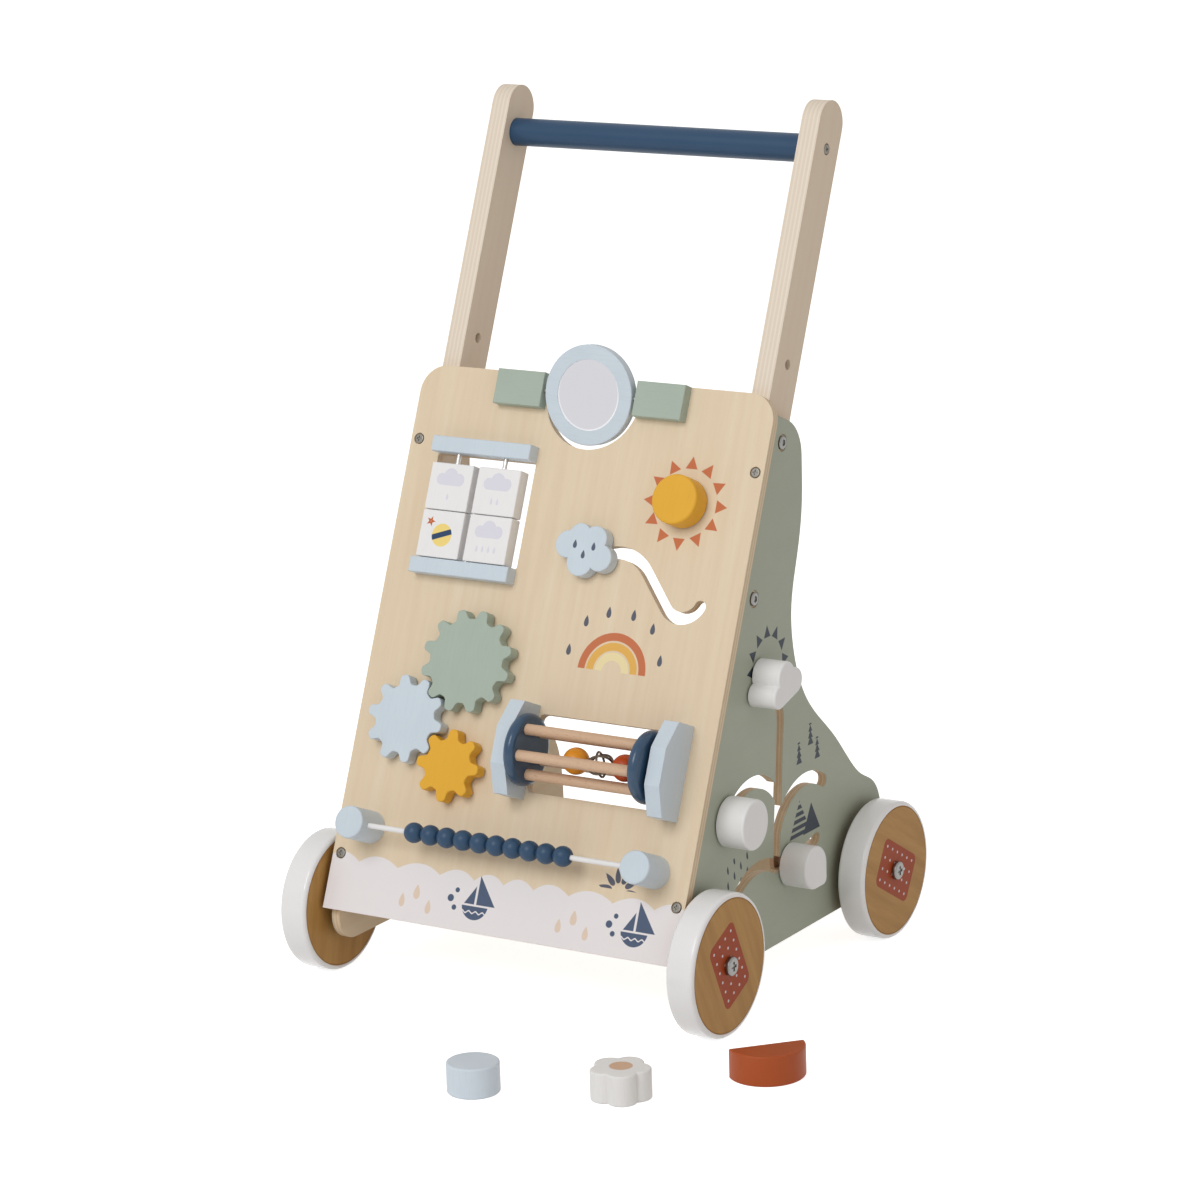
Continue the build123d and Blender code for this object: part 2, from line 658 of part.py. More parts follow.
block_bore = Cylinder(window_rod_diameter / 2 + pivot_gap, 2 * window_block_height)
window_block -= Rot(90, 0, 0) * block_bore
low_block_up = window_foot + face_gap + window_block_height / 2
high_block_up = low_block_up + window_block_height + face_gap
for column_name, x in (("left", rod_xs[0]), ("right", rod_xs[1])):
    for row_name, up in (("lower", low_block_up), ("upper", high_block_up)):
        block_name = row_name + "_" + column_name + "_window_block"
        parts[block_name] = on_panel(Pos(x, up, window_rod_out) * window_block)

# Sun knob: a round knob glued on a headed peg that turns in the panel
peg_low = -panel_thickness - face_gap - peg_head_thickness
peg_length = face_gap + panel_thickness + knob_gap + peg_grip
sun_peg = headed_peg(peg_low, peg_length)
peg_socket = stud(0, 0, knob_gap, knob_gap + peg_grip, peg_diameter + 2 * glue_gap)
sun_knob = stud(0, 0, knob_gap, knob_gap + sun_thickness, sun_diameter)
sun_knob = fillet(top_edges(sun_knob), maze_knob_round) - peg_socket
parts["sun_knob"] = on_panel(Pos(*sun_center, 0) * sun_knob)
parts["sun_peg"] = on_panel(Pos(*sun_center, 0) * sun_peg)

# Cloud slider: a lobed cloud on a headed peg that runs in the curved slot
cloud = extrude(lobed_outline(cloud_lobes), cloud_thickness)
cloud = fillet(top_edges(cloud), panel_edge_round)
cloud_place = Pos(cloud_start[0] + cloud_offset[0], cloud_start[1] + cloud_offset[1], knob_gap)
cloud = cloud_place * cloud - Pos(*cloud_start, 0) * peg_socket
parts["cloud_slider"] = on_panel(cloud)
parts["cloud_peg"] = on_panel(Pos(*cloud_start, 0) * sun_peg)


# Gears: straight-sided teeth between rounded tips and roots, in mesh at rest
def tooth_half_angle(teeth, radius):
    """Half the angle that a tooth fills at a radius, in radians."""
    pitch_radius = gear_module * teeth / 2
    pressure = math.radians(gear_pressure_angle)
    base_radius = pitch_radius * math.cos(pressure)
    tooth_width = math.pi * gear_module / 2 - gear_backlash
    local = math.acos(min(1, base_radius / radius))
    flare = (math.tan(pressure) - pressure) - (math.tan(local) - local)
    return tooth_width / (2 * pitch_radius) + flare


def gear_solid(teeth, phase):
    """A gear with its peg socket, standing on its back face, with one tooth at an angle."""
    pitch_radius = gear_module * teeth / 2
    tip_radius = pitch_radius + gear_tip_height
    root_radius = pitch_radius - gear_root_depth
    tip_half = tooth_half_angle(teeth, tip_radius)
    root_half = tooth_half_angle(teeth, root_radius)
    tips = []
    roots = []
    for number in range(teeth):
        middle = math.radians(phase + number * full_turn / teeth)
        for radius, turn, corners in ((root_radius, -root_half, roots), (tip_radius, -tip_half, tips),
                                      (tip_radius, tip_half, tips), (root_radius, root_half, roots)):
            corner = (radius * math.cos(middle + turn), radius * math.sin(middle + turn))
            corners.append(corner)
    outline_points = []
    for number in range(teeth):
        pair = 2 * number
        outline_points += [roots[pair], tips[pair], tips[pair + 1], roots[pair + 1]]
    outline = make_face(Polyline(outline_points, close=True))
    tip_corners = [v for v in outline.vertices() if Vector(v.X, v.Y, 0).length > pitch_radius]
    outline = fillet(tip_corners, gear_tip_round)
    root_corners = [v for v in outline.vertices() if Vector(v.X, v.Y, 0).length < root_radius + glue_gap]
    outline = fillet(root_corners, gear_root_round)
    gear = extrude(outline, gear_thickness)
    return Pos(0, 0, knob_gap) * gear - peg_socket


def mesh_phase(center, teeth, phase, direction, mate_teeth):
    """The tooth angle of a gear that meshes with another one in a direction from it."""
    lead = phase - direction
    mate_gap = direction + half_turn - lead * teeth / mate_teeth
    return mate_gap + half_turn / mate_teeth


blue_phase = mesh_phase(green_center, green_teeth, green_phase, blue_direction, blue_teeth)
yellow_phase = mesh_phase(blue_center, blue_teeth, blue_phase, yellow_direction, yellow_teeth)
gears = (("green", green_center, green_teeth, green_phase), ("blue", blue_center, blue_teeth, blue_phase),
         ("yellow", yellow_center, yellow_teeth, yellow_phase))
for gear_name, center, teeth, phase in gears:
    parts[gear_name + "_gear"] = on_panel(Pos(*center, 0) * gear_solid(teeth, phase))
    parts[gear_name + "_gear_peg"] = on_panel(Pos(*center, 0) * sun_peg)

# Drum: two brackets carry two pins, and two discs with dowels between them turn on the pins
bracket_half = bracket_width / 2
bracket_front = bracket_half - bracket_chamfer_length
bracket_step = bracket_reach - bracket_chamfer_depth
bracket_corners = [(-bracket_half, 0), (-bracket_half, bracket_step), (-bracket_front, bracket_reach),
                   (bracket_front, bracket_reach), (bracket_half, bracket_step), (bracket_half, 0)]
bracket_face = make_face(Polyline(bracket_corners, close=True))
bracket_plane = Plane(origin=(0, drum_height, 0), x_dir=(0, 1, 0), z_dir=(1, 0, 0))
bracket = extrude(bracket_plane.location * bracket_face, bracket_thickness, dir=(1, 0, 0))
bracket = fillet(bracket.edges().filter_by(Axis.X), panel_edge_round)
drum_pin_from = drum_left - pivot_pin_grip
drum_pin_to = drum_pin_from + pivot_pin_length
left_bracket = Pos(drum_left - bracket_thickness, 0, 0) * bracket
left_bracket -= cross_bar(drum_height, drum_axis_out, drum_pin_from, drum_left, pin_bore_diameter)
right_bracket = Pos(drum_right, 0, 0) * bracket
right_pin_to = drum_right + pivot_pin_grip
right_bracket -= cross_bar(drum_height, drum_axis_out, drum_right, right_pin_to, pin_bore_diameter)
parts["drum_brackets"] = Compound([on_panel(left_bracket), on_panel(right_bracket)])

disc = stud(0, 0, 0, disc_thickness, disc_diameter)
disc = fillet(disc.edges().filter_by(GeomType.CIRCLE), disc_edge_round)
dowel_turns = [dowel_phase + number * full_turn / dowel_count for number in range(dowel_count)]
dowel_places = [polar((drum_height, drum_axis_out), dowel_circle / 2, turn) for turn in dowel_turns]
left_disc_inner = drum_left + disc_side_gap + disc_thickness
right_disc_inner = drum_right - disc_side_gap - disc_thickness
disc_place = Pos(0, drum_height, drum_axis_out) * Rot(0, 90, 0)
left_disc = Pos(left_disc_inner - disc_thickness, 0, 0) * disc_place * disc
right_disc = Pos(right_disc_inner, 0, 0) * disc_place * disc
dowels = []
for up, out in dowel_places:
    dowel_from = left_disc_inner - dowel_grip
    dowel_to = right_disc_inner + dowel_grip
    dowel_bore = cross_bar(up, out, dowel_from, dowel_to, dowel_diameter + 2 * glue_gap)
    left_disc -= dowel_bore
    right_disc -= dowel_bore
    dowels.append(on_panel(cross_bar(up, out, dowel_from, dowel_to, dowel_diameter)))
pin_run = pivot_pin_diameter + 2 * pivot_gap
left_disc -= cross_bar(drum_height, drum_axis_out, drum_left, drum_pin_to + face_gap, pin_run)
right_pin_from = right_pin_to - pivot_pin_length
right_disc -= cross_bar(drum_height, drum_axis_out, right_pin_from - face_gap, drum_right, pin_run)
parts["drum_discs"] = Compound([on_panel(left_disc), on_panel(right_disc)])
parts["drum_dowels"] = Compound(dowels)

# Four steel pins of one size: two for the mirror and two for the drum
pivot_pin_places = [(mirror_height, mirror_axis_out, mirror_pin_from),
                    (mirror_height, mirror_axis_out, -mirror_pin_to),
                    (drum_height, drum_axis_out, drum_pin_from),
                    (drum_height, drum_axis_out, right_pin_from)]
pivot_pins = []
for up, out, pin_from in pivot_pin_places:
    pin = cross_bar(up, out, pin_from, pin_from + pivot_pin_length, pivot_pin_diameter)
    pivot_pins.append(on_panel(pin))
parts["pivot_pins"] = Compound(pivot_pins)

# Two balls and a wire bell lie at the bottom of the drum, between its dowels
cage_radius = dowel_circle / 2 - dowel_diameter / 2
ball_drop = cage_radius - ball_diameter / 2 - slide_gap
ball_axis = panel_point(0, drum_height, drum_axis_out) - Vector(0, 0, ball_drop)
ball = Sphere(ball_diameter / 2)
parts["orange_ball"] = Pos(ball_first_x, ball_axis.Y, ball_axis.Z) * ball
parts["red_ball"] = Pos(ball_first_x + 2 * ball_pitch, ball_axis.Y, ball_axis.Z) * ball
bell_radius = (ball_diameter - bell_wire) / 2
bell_ring = Torus(bell_radius, bell_wire / 2)
bell = bell_ring + Rot(90, 0, 0) * bell_ring + Rot(0, 90, 0) * bell_ring
parts["wire_bell"] = Pos(ball_first_x + ball_pitch, ball_axis.Y, ball_axis.Z) * Rot(*bell_turn) * bell

# Abacus: two posts carry a rod with a row of beads
post = stud(0, 0, 0, post_length, post_diameter)
post = fillet(top_edges(post), post_edge_round)
post_edge = (post_spacing - post_diameter) / 2
rod_reach = post_edge + abacus_rod_grip
rod_bore = cross_bar(abacus_height, abacus_rod_out, -rod_reach, rod_reach,
                     abacus_rod_diameter + 2 * glue_gap)
left_post = Pos(-post_spacing / 2, abacus_height, 0) * post - rod_bore
right_post = Pos(post_spacing / 2, abacus_height, 0) * post - rod_bore
parts["abacus_posts"] = Compound([on_panel(left_post), on_panel(right_post)])
parts["abacus_rod"] = on_panel(cross_bar(abacus_height, abacus_rod_out, -rod_reach, rod_reach,
                                         abacus_rod_diameter))
bead = Sphere(bead_diameter / 2) & Box(bead_width, bead_diameter, bead_diameter)
bead -= Rot(0, 90, 0) * Cylinder(abacus_rod_diameter / 2 + bead_bore_gap, 2 * bead_width)
bead_xs = [bead_first_x + number * bead_pitch for number in range(bead_count)]
for number, x in enumerate(bead_xs):
    bead_place = Pos(x, abacus_height, abacus_rod_out)
    parts["bead_" + str(number + 1)] = on_panel(bead_place * bead)

# Three knobs that run in the maze, each glued on a headed peg from inside the side panel
maze_peg_length = face_gap + side_thickness + knob_gap + peg_grip
maze_peg_low = -side_thickness - face_gap - peg_head_thickness
maze_peg = headed_peg(maze_peg_low, maze_peg_length)
maze_plane = Plane(origin=(side_outer, 0, 0), x_dir=(0, 1, 0), z_dir=(1, 0, 0))


def maze_knob(outline, place):
    """A knob of an outline centred on its peg, at a place in Y and Z."""
    knob = Pos(0, 0, knob_gap) * extrude(outline, maze_knob_length)
    knob = fillet(top_edges(knob), maze_knob_round) - peg_socket
    return maze_plane.location * Pos(*place, 0) * knob


round_knob_place = polar(left_arch_center, left_arch_radius, left_arch_angles[1])
crown_knob_place = polar(hook_center, hook_radius, hook_end_angle)
leaf_knob_place = polar(low_right_center, low_right_radius, low_right_start_angle)
leaf_corner = Rectangle(leaf_radius, leaf_radius, align=(Align.MIN, Align.MAX))
leaf_corner = fillet(corner_at(leaf_corner, (leaf_radius, -leaf_radius)), leaf_corner_radius)
leaf_outline = Pos(*leaf_offset) * (Circle(leaf_radius) + leaf_corner)
base_lobes = [Pos(lobe_x, lobe_y) * Circle(radius) for lobe_x, lobe_y, radius in crown_lobes]
crown_base = make_hull(base_lobes[0].edges() + base_lobes[-1].edges())
parts["round_knob"] = maze_knob(Circle(round_knob_diameter / 2), round_knob_place)
parts["crown_knob"] = maze_knob(lobed_outline(crown_lobes) + crown_base, crown_knob_place)
parts["leaf_knob"] = maze_knob(leaf_outline, leaf_knob_place)
for knob_name, place in (("round", round_knob_place), ("crown", crown_knob_place),
                         ("leaf", leaf_knob_place)):
    parts[knob_name + "_knob_peg"] = maze_plane.location * Pos(*place, 0) * maze_peg

# The origin is on the floor, in the middle of everything that stands there
whole = Compound(list(parts.values())).bounding_box()
origin_shift = Pos(-(whole.min.X + whole.max.X) / 2, -(whole.min.Y + whole.max.Y) / 2, 0)
os.makedirs("parts", exist_ok=True)
for node, shape in parts.items():
    parts[node] = origin_shift * shape
    export_step(parts[node], "parts/" + node + ".step")
print(len(parts), "nodes, size", whole.size, "shift", origin_shift.position)
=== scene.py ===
import json
import math

import bpy
from mathutils import Matrix, Vector

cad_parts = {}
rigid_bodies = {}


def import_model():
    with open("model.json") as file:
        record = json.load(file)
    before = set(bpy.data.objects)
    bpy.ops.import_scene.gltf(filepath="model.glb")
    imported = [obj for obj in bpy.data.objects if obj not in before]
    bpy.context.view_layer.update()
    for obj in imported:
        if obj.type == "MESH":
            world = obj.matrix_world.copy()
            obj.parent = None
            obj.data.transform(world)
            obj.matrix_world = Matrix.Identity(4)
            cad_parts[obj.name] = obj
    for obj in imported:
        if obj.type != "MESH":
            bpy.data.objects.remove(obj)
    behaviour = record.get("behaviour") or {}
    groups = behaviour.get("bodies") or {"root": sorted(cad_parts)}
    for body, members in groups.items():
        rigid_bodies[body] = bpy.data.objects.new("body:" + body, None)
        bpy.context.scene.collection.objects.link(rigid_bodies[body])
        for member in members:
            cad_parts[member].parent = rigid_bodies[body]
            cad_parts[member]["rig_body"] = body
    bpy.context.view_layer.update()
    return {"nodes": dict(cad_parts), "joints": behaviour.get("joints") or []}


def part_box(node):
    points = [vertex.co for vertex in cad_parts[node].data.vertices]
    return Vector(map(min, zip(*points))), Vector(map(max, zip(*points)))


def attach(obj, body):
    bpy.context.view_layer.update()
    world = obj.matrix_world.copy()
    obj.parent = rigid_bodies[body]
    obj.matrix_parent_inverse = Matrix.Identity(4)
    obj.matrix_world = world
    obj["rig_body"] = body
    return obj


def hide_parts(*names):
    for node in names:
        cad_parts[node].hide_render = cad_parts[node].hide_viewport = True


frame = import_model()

# ---------------------------------------------------------------------------------------------
# Front panel. One sheet of pale birch plywood, sawn to shape with its edges sanded round, and
# varnished matt over its prints: a border with boats, a ring of rays, rain drops and arcs. Four
# wood screws and glue hold it on the slanted front edges of the side panels.
# ---------------------------------------------------------------------------------------------
mm = 0.001
joint_axis = {joint["name"]: Vector(joint["axis"]) for joint in frame["joints"]}
joint_place = {j["name"]: Vector(j["pos_m"]) for j in frame["joints"] if "pos_m" in j}
panel_out = joint_axis["sun_turn"]
panel_up = joint_axis["lower_left_block_turn"]
panel_low, panel_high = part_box("front_panel")
panel_sheet = 6.5 * mm
panel_middle = (panel_low.x + panel_high.x) / 2
panel_foot = Vector((panel_middle, panel_low.y, panel_low.z + panel_sheet * panel_out.z))
panel_turn = (math.atan2(panel_up.z, panel_up.y), 0, 0)
millimetre = (mm, mm, mm)
matt_gloss = 0.28


def on_panel(point):
    """The millimetres across, up the slope and out of the face of the front panel."""
    reach = point - panel_foot
    return (reach.x / mm, reach.dot(panel_up) / mm, reach.dot(panel_out) / mm)


def colour(red, green, blue):
    """A colour written as it looks in daylight, from 0 to 255 each."""
    parts = []
    for part in (red, green, blue):
        share = part / 255
        parts.append(share / 12.92 if share < 0.04045 else ((share + 0.055) / 1.055) ** 2.4)
    return (*parts, 1)


class Tone:
    """A shader socket that Python sums work on: each one adds its Math node."""

    def __init__(self, finish, socket):
        self.finish = finish
        self.socket = socket

    def __add__(self, other):
        return self.finish.sum("ADD", self, other)

    def __sub__(self, other):
        return self.finish.sum("SUBTRACT", self, other)

    def __rsub__(self, other):
        return self.finish.sum("SUBTRACT", other, self)

    def __mul__(self, other):
        return self.finish.sum("MULTIPLY", self, other)

    def __truediv__(self, other):
        return self.finish.sum("DIVIDE", self, other)

    def __mod__(self, other):
        return self.finish.sum("FLOORED_MODULO", self, other)

    def __pow__(self, other):
        return self.finish.sum("POWER", self, other)

    def __abs__(self):
        return self.finish.sum("ABSOLUTE", self)

    def __or__(self, other):
        return self.finish.sum("MINIMUM", self, other)

    def __and__(self, other):
        return self.finish.sum("MAXIMUM", self, other)

    __radd__ = __add__
    __rmul__ = __mul__


class Finish:
    """A surface finish in the making, around one Principled shader."""

    def __init__(self, name):
        self.material = bpy.data.materials.new(name)
        self.material.use_nodes = True
        self.tree = self.material.node_tree
        self.shader = self.tree.nodes["Principled BSDF"]
        self.shader.inputs["Specular IOR Level"].default_value = matt_gloss

    def feed(self, socket, value):
        if isinstance(value, Tone):
            self.tree.links.new(value.socket, socket)
        else:
            socket.default_value = value

    def add(self, kind, settings=None, inputs=None, output=0):
        """A node with its settings made first and its sockets fed, and one output of it."""
        node = self.tree.nodes.new(kind)
        for name, value in (settings or {}).items():
            setattr(node, name, value)
        for name, value in (inputs or {}).items():
            self.feed(node.inputs[name], value)
        return Tone(self, node.outputs[output])

    def sum(self, operation, *values, clamp=False):
        settings = {"operation": operation, "use_clamp": clamp}
        return self.add("ShaderNodeMath", settings, dict(enumerate(values)))

    def root(self, value):
        return self.sum("SQRT", value)

    def mix(self, share, under, over):
        """The colour over another one, by a share from 0 to 1."""
        settings = {"data_type": "RGBA", "clamp_factor": True}
        return self.add("ShaderNodeMix", settings, {0: share, 6: under, 7: over}, 2)

    def point(self, x, y, z=0.0):
        return self.add("ShaderNodeCombineXYZ", {}, {"X": x, "Y": y, "Z": z})

    def drawn(self, along, across, depth=0.0, squeeze=1.0):
        """A point whose pattern is drawn out along the grain, because its steps are squeezed."""
        return self.point(across, along * squeeze, depth)

    def split(self, vector):
        """The three parts of a vector."""
        node = self.tree.nodes.new("ShaderNodeSeparateXYZ")
        self.feed(node.inputs[0], vector)
        return [Tone(self, output) for output in node.outputs]

    def seat(self, origin, turn=(0, 0, 0)):
        """Millimetres along the axes of a seat on the walker, and the face's normal there."""
        place = self.add("ShaderNodeTexCoord", output="Object")
        facing = self.add("ShaderNodeTexCoord", output="Normal")
        settings = {"vector_type": "TEXTURE"}
        seat = {"Vector": place, "Location": origin, "Rotation": turn, "Scale": millimetre}
        turned = {"Vector": facing, "Rotation": turn}
        spot = self.add("ShaderNodeMapping", settings, seat)
        normal = self.add("ShaderNodeMapping", settings, turned)
        return self.split(spot), self.split(normal)

    def noise(self, vector, size, detail=3.0, roughness=0.5):
        inputs = {"Vector": vector, "Scale": 1 / size, "Detail": detail, "Roughness": roughness}
        return self.add("ShaderNodeTexNoise", {}, inputs)

    def ramp(self, value, low, high):
        """A value spread from 0 at low to 1 at high, held at both ends."""
        inputs = {"Value": value, "From Min": low, "From Max": high}
        return self.add("ShaderNodeMapRange", {"clamp": True}, inputs)

    def stain(self, under, over, pattern, low, high, share=1.0):
        """A colour with another one over it where a pattern rises from low to high."""
        return self.mix(self.ramp(pattern, low, high) * share, under, over)

    def inked(self, distance, soft=0.3):
        """1 inside an outline and 0 outside it, with the soft edge of a printed line."""
        return self.sum("MULTIPLY_ADD", distance, -1 / soft, 0.5, clamp=True)

    def printed(self, under, ink, shape, face=1.0, share=1.0, soft=0.3):
        """A colour with a shape printed over it, on one face and by a share."""
        return self.mix(self.inked(shape, soft) * face * share, under, ink)

    def turned_away(self, facing):
        """1 on a sawn edge, which turns away from the axis that the broad faces look along."""
        return 1 - self.inked(0.6 - abs(facing))

    def broad_face(self, facing):
        """1 on a face that looks along an axis and 0 where it turns from it."""
        return self.inked(0.9 - facing, soft=0.1)

    def seen_ray(self):
        """1 for a ray from the camera or off a glossy surface and 0 for any other."""
        eye, gloss = (self.add("ShaderNodeLightPath", output=f"Is {kind} Ray")
                      for kind in ("Camera", "Glossy"))
        return eye & gloss

    def show(self, base, rough, bump=None, height=0.05):
        """Feeds the colour, the roughness and a bump of so many millimetres to the shader."""
        self.feed(self.shader.inputs["Base Color"], base)
        self.feed(self.shader.inputs["Roughness"], rough)
        if bump is not None:
            inputs = {"Height": bump, "Strength": 1.0, "Distance": height * mm}
            self.feed(self.shader.inputs["Normal"], self.add("ShaderNodeBump", {}, inputs))


birch_pale = colour(228, 211, 184)
birch_warm = colour(220, 197, 167)
birch_dark = colour(194, 164, 128)
ply_brown = colour(160, 122, 84)
glue_half = 0.04
weld_distance = 0.002 * mm
sharp_edge = math.radians(40)
smooth_edge = math.radians(35)


def birch(finish, along, across, depth):
    """Birch in millimetres along its grain: its colour and the height of its grain."""
    stretched = finish.drawn(along, across, depth, squeeze=0.035)
    broad = finish.noise(finish.drawn(along, across, depth, squeeze=0.10), size=26.0)
    streaks = finish.noise(stretched, size=5.5, detail=5.0, roughness=0.55)
    fibres = finish.noise(stretched, size=0.42, detail=2.0)
    flecks = finish.noise(finish.drawn(along, across, depth, squeeze=0.12), size=0.9, detail=1.0)
    wood = finish.stain(birch_pale, birch_warm, streaks, low=0.30, high=0.74, share=0.75)
    wood = finish.stain(wood, birch_warm, broad, low=0.42, high=0.75, share=0.55)
    wood = finish.stain(wood, birch_dark, flecks, low=0.70, high=0.82, share=0.30)
    wood = finish.stain(wood, birch_dark, fibres, low=0.50, high=0.85, share=0.12)
    return wood, fibres


def plies(finish, wood, along, depth, ply_count, sheet):
    """The layers that show at a sawn edge, every other one with its end grain out."""
    wander = finish.noise(finish.point(along, depth), size=14.0, detail=2.0) * 0.25
    layer = (depth / (sheet / ply_count) + wander) % 2.0
    past_ply = abs(layer - 1.0) - 0.5
    dark_ply = finish.inked(past_ply, soft=0.25)
    glue_line = finish.inked(abs(past_ply) - glue_half, soft=0.12)
    saw_marks = finish.noise(finish.point(along, depth * 0.3), size=0.8, detail=2.0)
    edge = finish.mix(dark_ply * (0.30 + saw_marks * 0.30), wood, birch_dark)
    return finish.mix(glue_line * 0.40, edge, ply_brown)


def sand_edges(piece, ease, segments):
    """Rounds a piece's sharp edges."""
    bevel = piece.modifiers.new("sanded", "BEVEL")
    bevel.width = ease
    bevel.segments = segments
    bevel.limit_method = "ANGLE"
    bevel.angle_limit = sharp_edge
    bpy.ops.object.modifier_apply(modifier=bevel.name)


def level_faces(piece):
    """Shades a piece smooth but for its sharp edges, with its flat faces level."""
    bpy.ops.object.shade_smooth_by_angle(angle=smooth_edge)
    level = piece.modifiers.new("flat faces", "WEIGHTED_NORMAL")
    level.keep_sharp = True
    bpy.ops.object.modifier_apply(modifier=level.name)


def eased_copy(node, name, ease, segments=3):
    """A CAD piece as one closed skin, with its sharp edges sanded round, riding as it did."""
    source = frame["nodes"][node]
    piece = bpy.data.objects.new(name, source.data.copy())
    bpy.context.scene.collection.objects.link(piece)
    bpy.ops.object.select_all(action="DESELECT")
    piece.select_set(True)
    bpy.context.view_layer.objects.active = piece
    piece.data.materials.clear()
    bpy.ops.object.mode_set(mode="EDIT")
    bpy.ops.mesh.select_all(action="SELECT")
    bpy.ops.mesh.customdata_custom_splitnormals_clear()
    bpy.ops.mesh.remove_doubles(threshold=weld_distance)
    bpy.ops.mesh.faces_shade_smooth()
    bpy.ops.object.mode_set(mode="OBJECT")
    if ease:
        sand_edges(piece, ease, segments)
    level_faces(piece)
    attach(piece, source["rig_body"])
    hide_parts(node)
    return piece


def finish_with(piece, finish):
    """Gives a piece its finish all over."""
    piece.data.materials.clear()
    piece.data.materials.append(finish.material)


def dress(node, name, finish, ease=0, segments=3):
    """An eased copy of a CAD piece in its finish."""
    finish_with(eased_copy(node, name, ease, segments), finish)


ray_orange = colour(194, 101, 54)
drop_blue = colour(62, 72, 94)
border_white = colour(233, 229, 232)
boat_blue = colour(34, 64, 99)
sand_drop = colour(222, 196, 170)
arc_yellow = colour(226, 172, 72)
arc_cream = colour(236, 220, 168)
ink_reach = 0.45
ray_count = 12
ray_ring = (21.6, 30.4)
ray_half_width = 4.7
ray_inset = 0.3
border_height = 32.2
border_wave = 5.2
border_pitch = 26.0
border_bend = 5.0
bend_rate = 0.043
motif_pitch = 116.0
motif_start = -18.0
first_boat = -70.0
arc_center = (48.5, 173.0)
arc_radii = ((7.0, 12.0), (13.2, 18.2), (19.4, 24.4))
leaf_center = (82.0, 40.0)
leaf_sector = 0.6
leaf_start = 5.0
leaf_foot = 1.0
leaf_size = (2.0, 10.0)
hull_middle = 17.5
hull_radius = 9.6
hull_deck = 16.4
sail_foot = 17.6
sail_gap = 0.8
big_sail_edge = (0.80, 0.60, 22.2)
small_sail_edge = (-0.84, 0.54, 16.4)
wave_level = 12.6
wave_height = 0.7
wave_rate = 1.25
wave_half = 0.45
belly_peak = 0.385
drop_inset = 0.1
bubble_places = ((-14.5, 25.0, 1.6), (-18.5, 19.5, 2.3), (-15.0, 14.0, 1.7))
sand_places = ((-54.0, 9.0, 2.2, 9.0), (-44.0, 15.0, 2.5, 9.5), (-34.0, 7.0, 2.2, 9.0))
rain_places = ((9.0, 206.0, 1.8, 7.4), (24.0, 199.0, 1.8, 7.4), (33.0, 180.0, 1.8, 7.4))


def rays(finish, x, y, count, inner, outer, half_width):
    """The distance to a ring of plain triangles that point outwards."""
    sector = 2 * math.pi / count
    turn = finish.sum("ARCTAN2", y, x)
    local = (turn + sector / 2) % sector - sector / 2
    reach = finish.root(x * x + y * y)
    along = reach * finish.sum("COSINE", local)
    across = abs(reach * finish.sum("SINE", local))
    slant = across - (outer - along) * (half_width / (outer - inner))
    return slant & (inner - along)


def drop(finish, x, y, half_width, length):
    """The distance to a drop with its foot at the origin, round below and pointed above."""
    rise = finish.ramp(y, 0.0, length)
    belly = finish.root(rise) * (1 - rise) * (half_width / belly_peak)
    return (abs(x) - belly + drop_inset) & (0 - y) & (y - length)


def disc(finish, x, y, radius):
    """The distance to a round dot about the origin."""
    return finish.root(x * x + y * y) - radius


def scatter(finish, shape, x, y, places):
    """The distance to copies of one shape, each with its place and its own sizes."""
    nearest = None
    for aside, height, *sizes in places:
        one = shape(finish, x - aside, y - height, *sizes)
        nearest = one if nearest is None else nearest | one
    return nearest


def past_edge(x, y, edge):
    """The distance past a straight edge, which is given by its slopes and its reach."""
    slope_x, slope_y, reach = edge
    return x * slope_x + y * slope_y - reach


def boat(finish, x, y):
    """The distance to a small boat: half a disc with a wavy line across it, and two sails."""
    hull = disc(finish, x, y - hull_middle, hull_radius) & (y - hull_deck)
    big_sail = (sail_gap - x) & (sail_foot - y) & past_edge(x, y, big_sail_edge)
    small_sail = (x + sail_gap) & (sail_foot - y) & past_edge(x, y, small_sail_edge)
    wave = finish.sum("SINE", x * wave_rate) * wave_height
    return (hull | big_sail | small_sail) & (wave_half - abs(y - wave_level - wave))


panel_finish = Finish("printed birch front")
(x, up, out), (_, _, facing) = panel_finish.seat(panel_foot, panel_turn)
wood, fibres = birch(panel_finish, up, x, out)
edge_wood = plies(panel_finish, wood, x + up, out, ply_count=5, sheet=panel_sheet / mm)
wood = panel_finish.mix(panel_finish.turned_away(facing), wood, edge_wood)
on_face = panel_finish.inked(-ink_reach - out, soft=0.2)

bend = panel_finish.sum("SINE", x * bend_rate) * border_bend
crest = ((x + bend) % border_pitch) / (border_pitch / 2) - 1.0
border_top = (1 - crest * crest) * border_wave + border_height
wood = panel_finish.printed(wood, border_white, up - border_top, on_face, share=0.90)

cell = (x - motif_start + motif_pitch / 2) % motif_pitch - motif_pitch / 2
boats = boat(panel_finish, cell, up)
boats = (boats | scatter(panel_finish, disc, cell, up, bubble_places)) & (first_boat - x)
wood = panel_finish.printed(wood, boat_blue, boats, on_face, share=0.93)
grains = scatter(panel_finish, drop, cell, up, sand_places)
wood = panel_finish.printed(wood, sand_drop, grains, on_face, share=0.8)

sun_x, sun_up, _ = on_panel(joint_place["sun_turn"])
ring = rays(panel_finish, x - sun_x, up - sun_up, ray_count, *ray_ring, ray_half_width)
wood = panel_finish.printed(wood, ray_orange, ring + ray_inset, on_face, share=0.94)

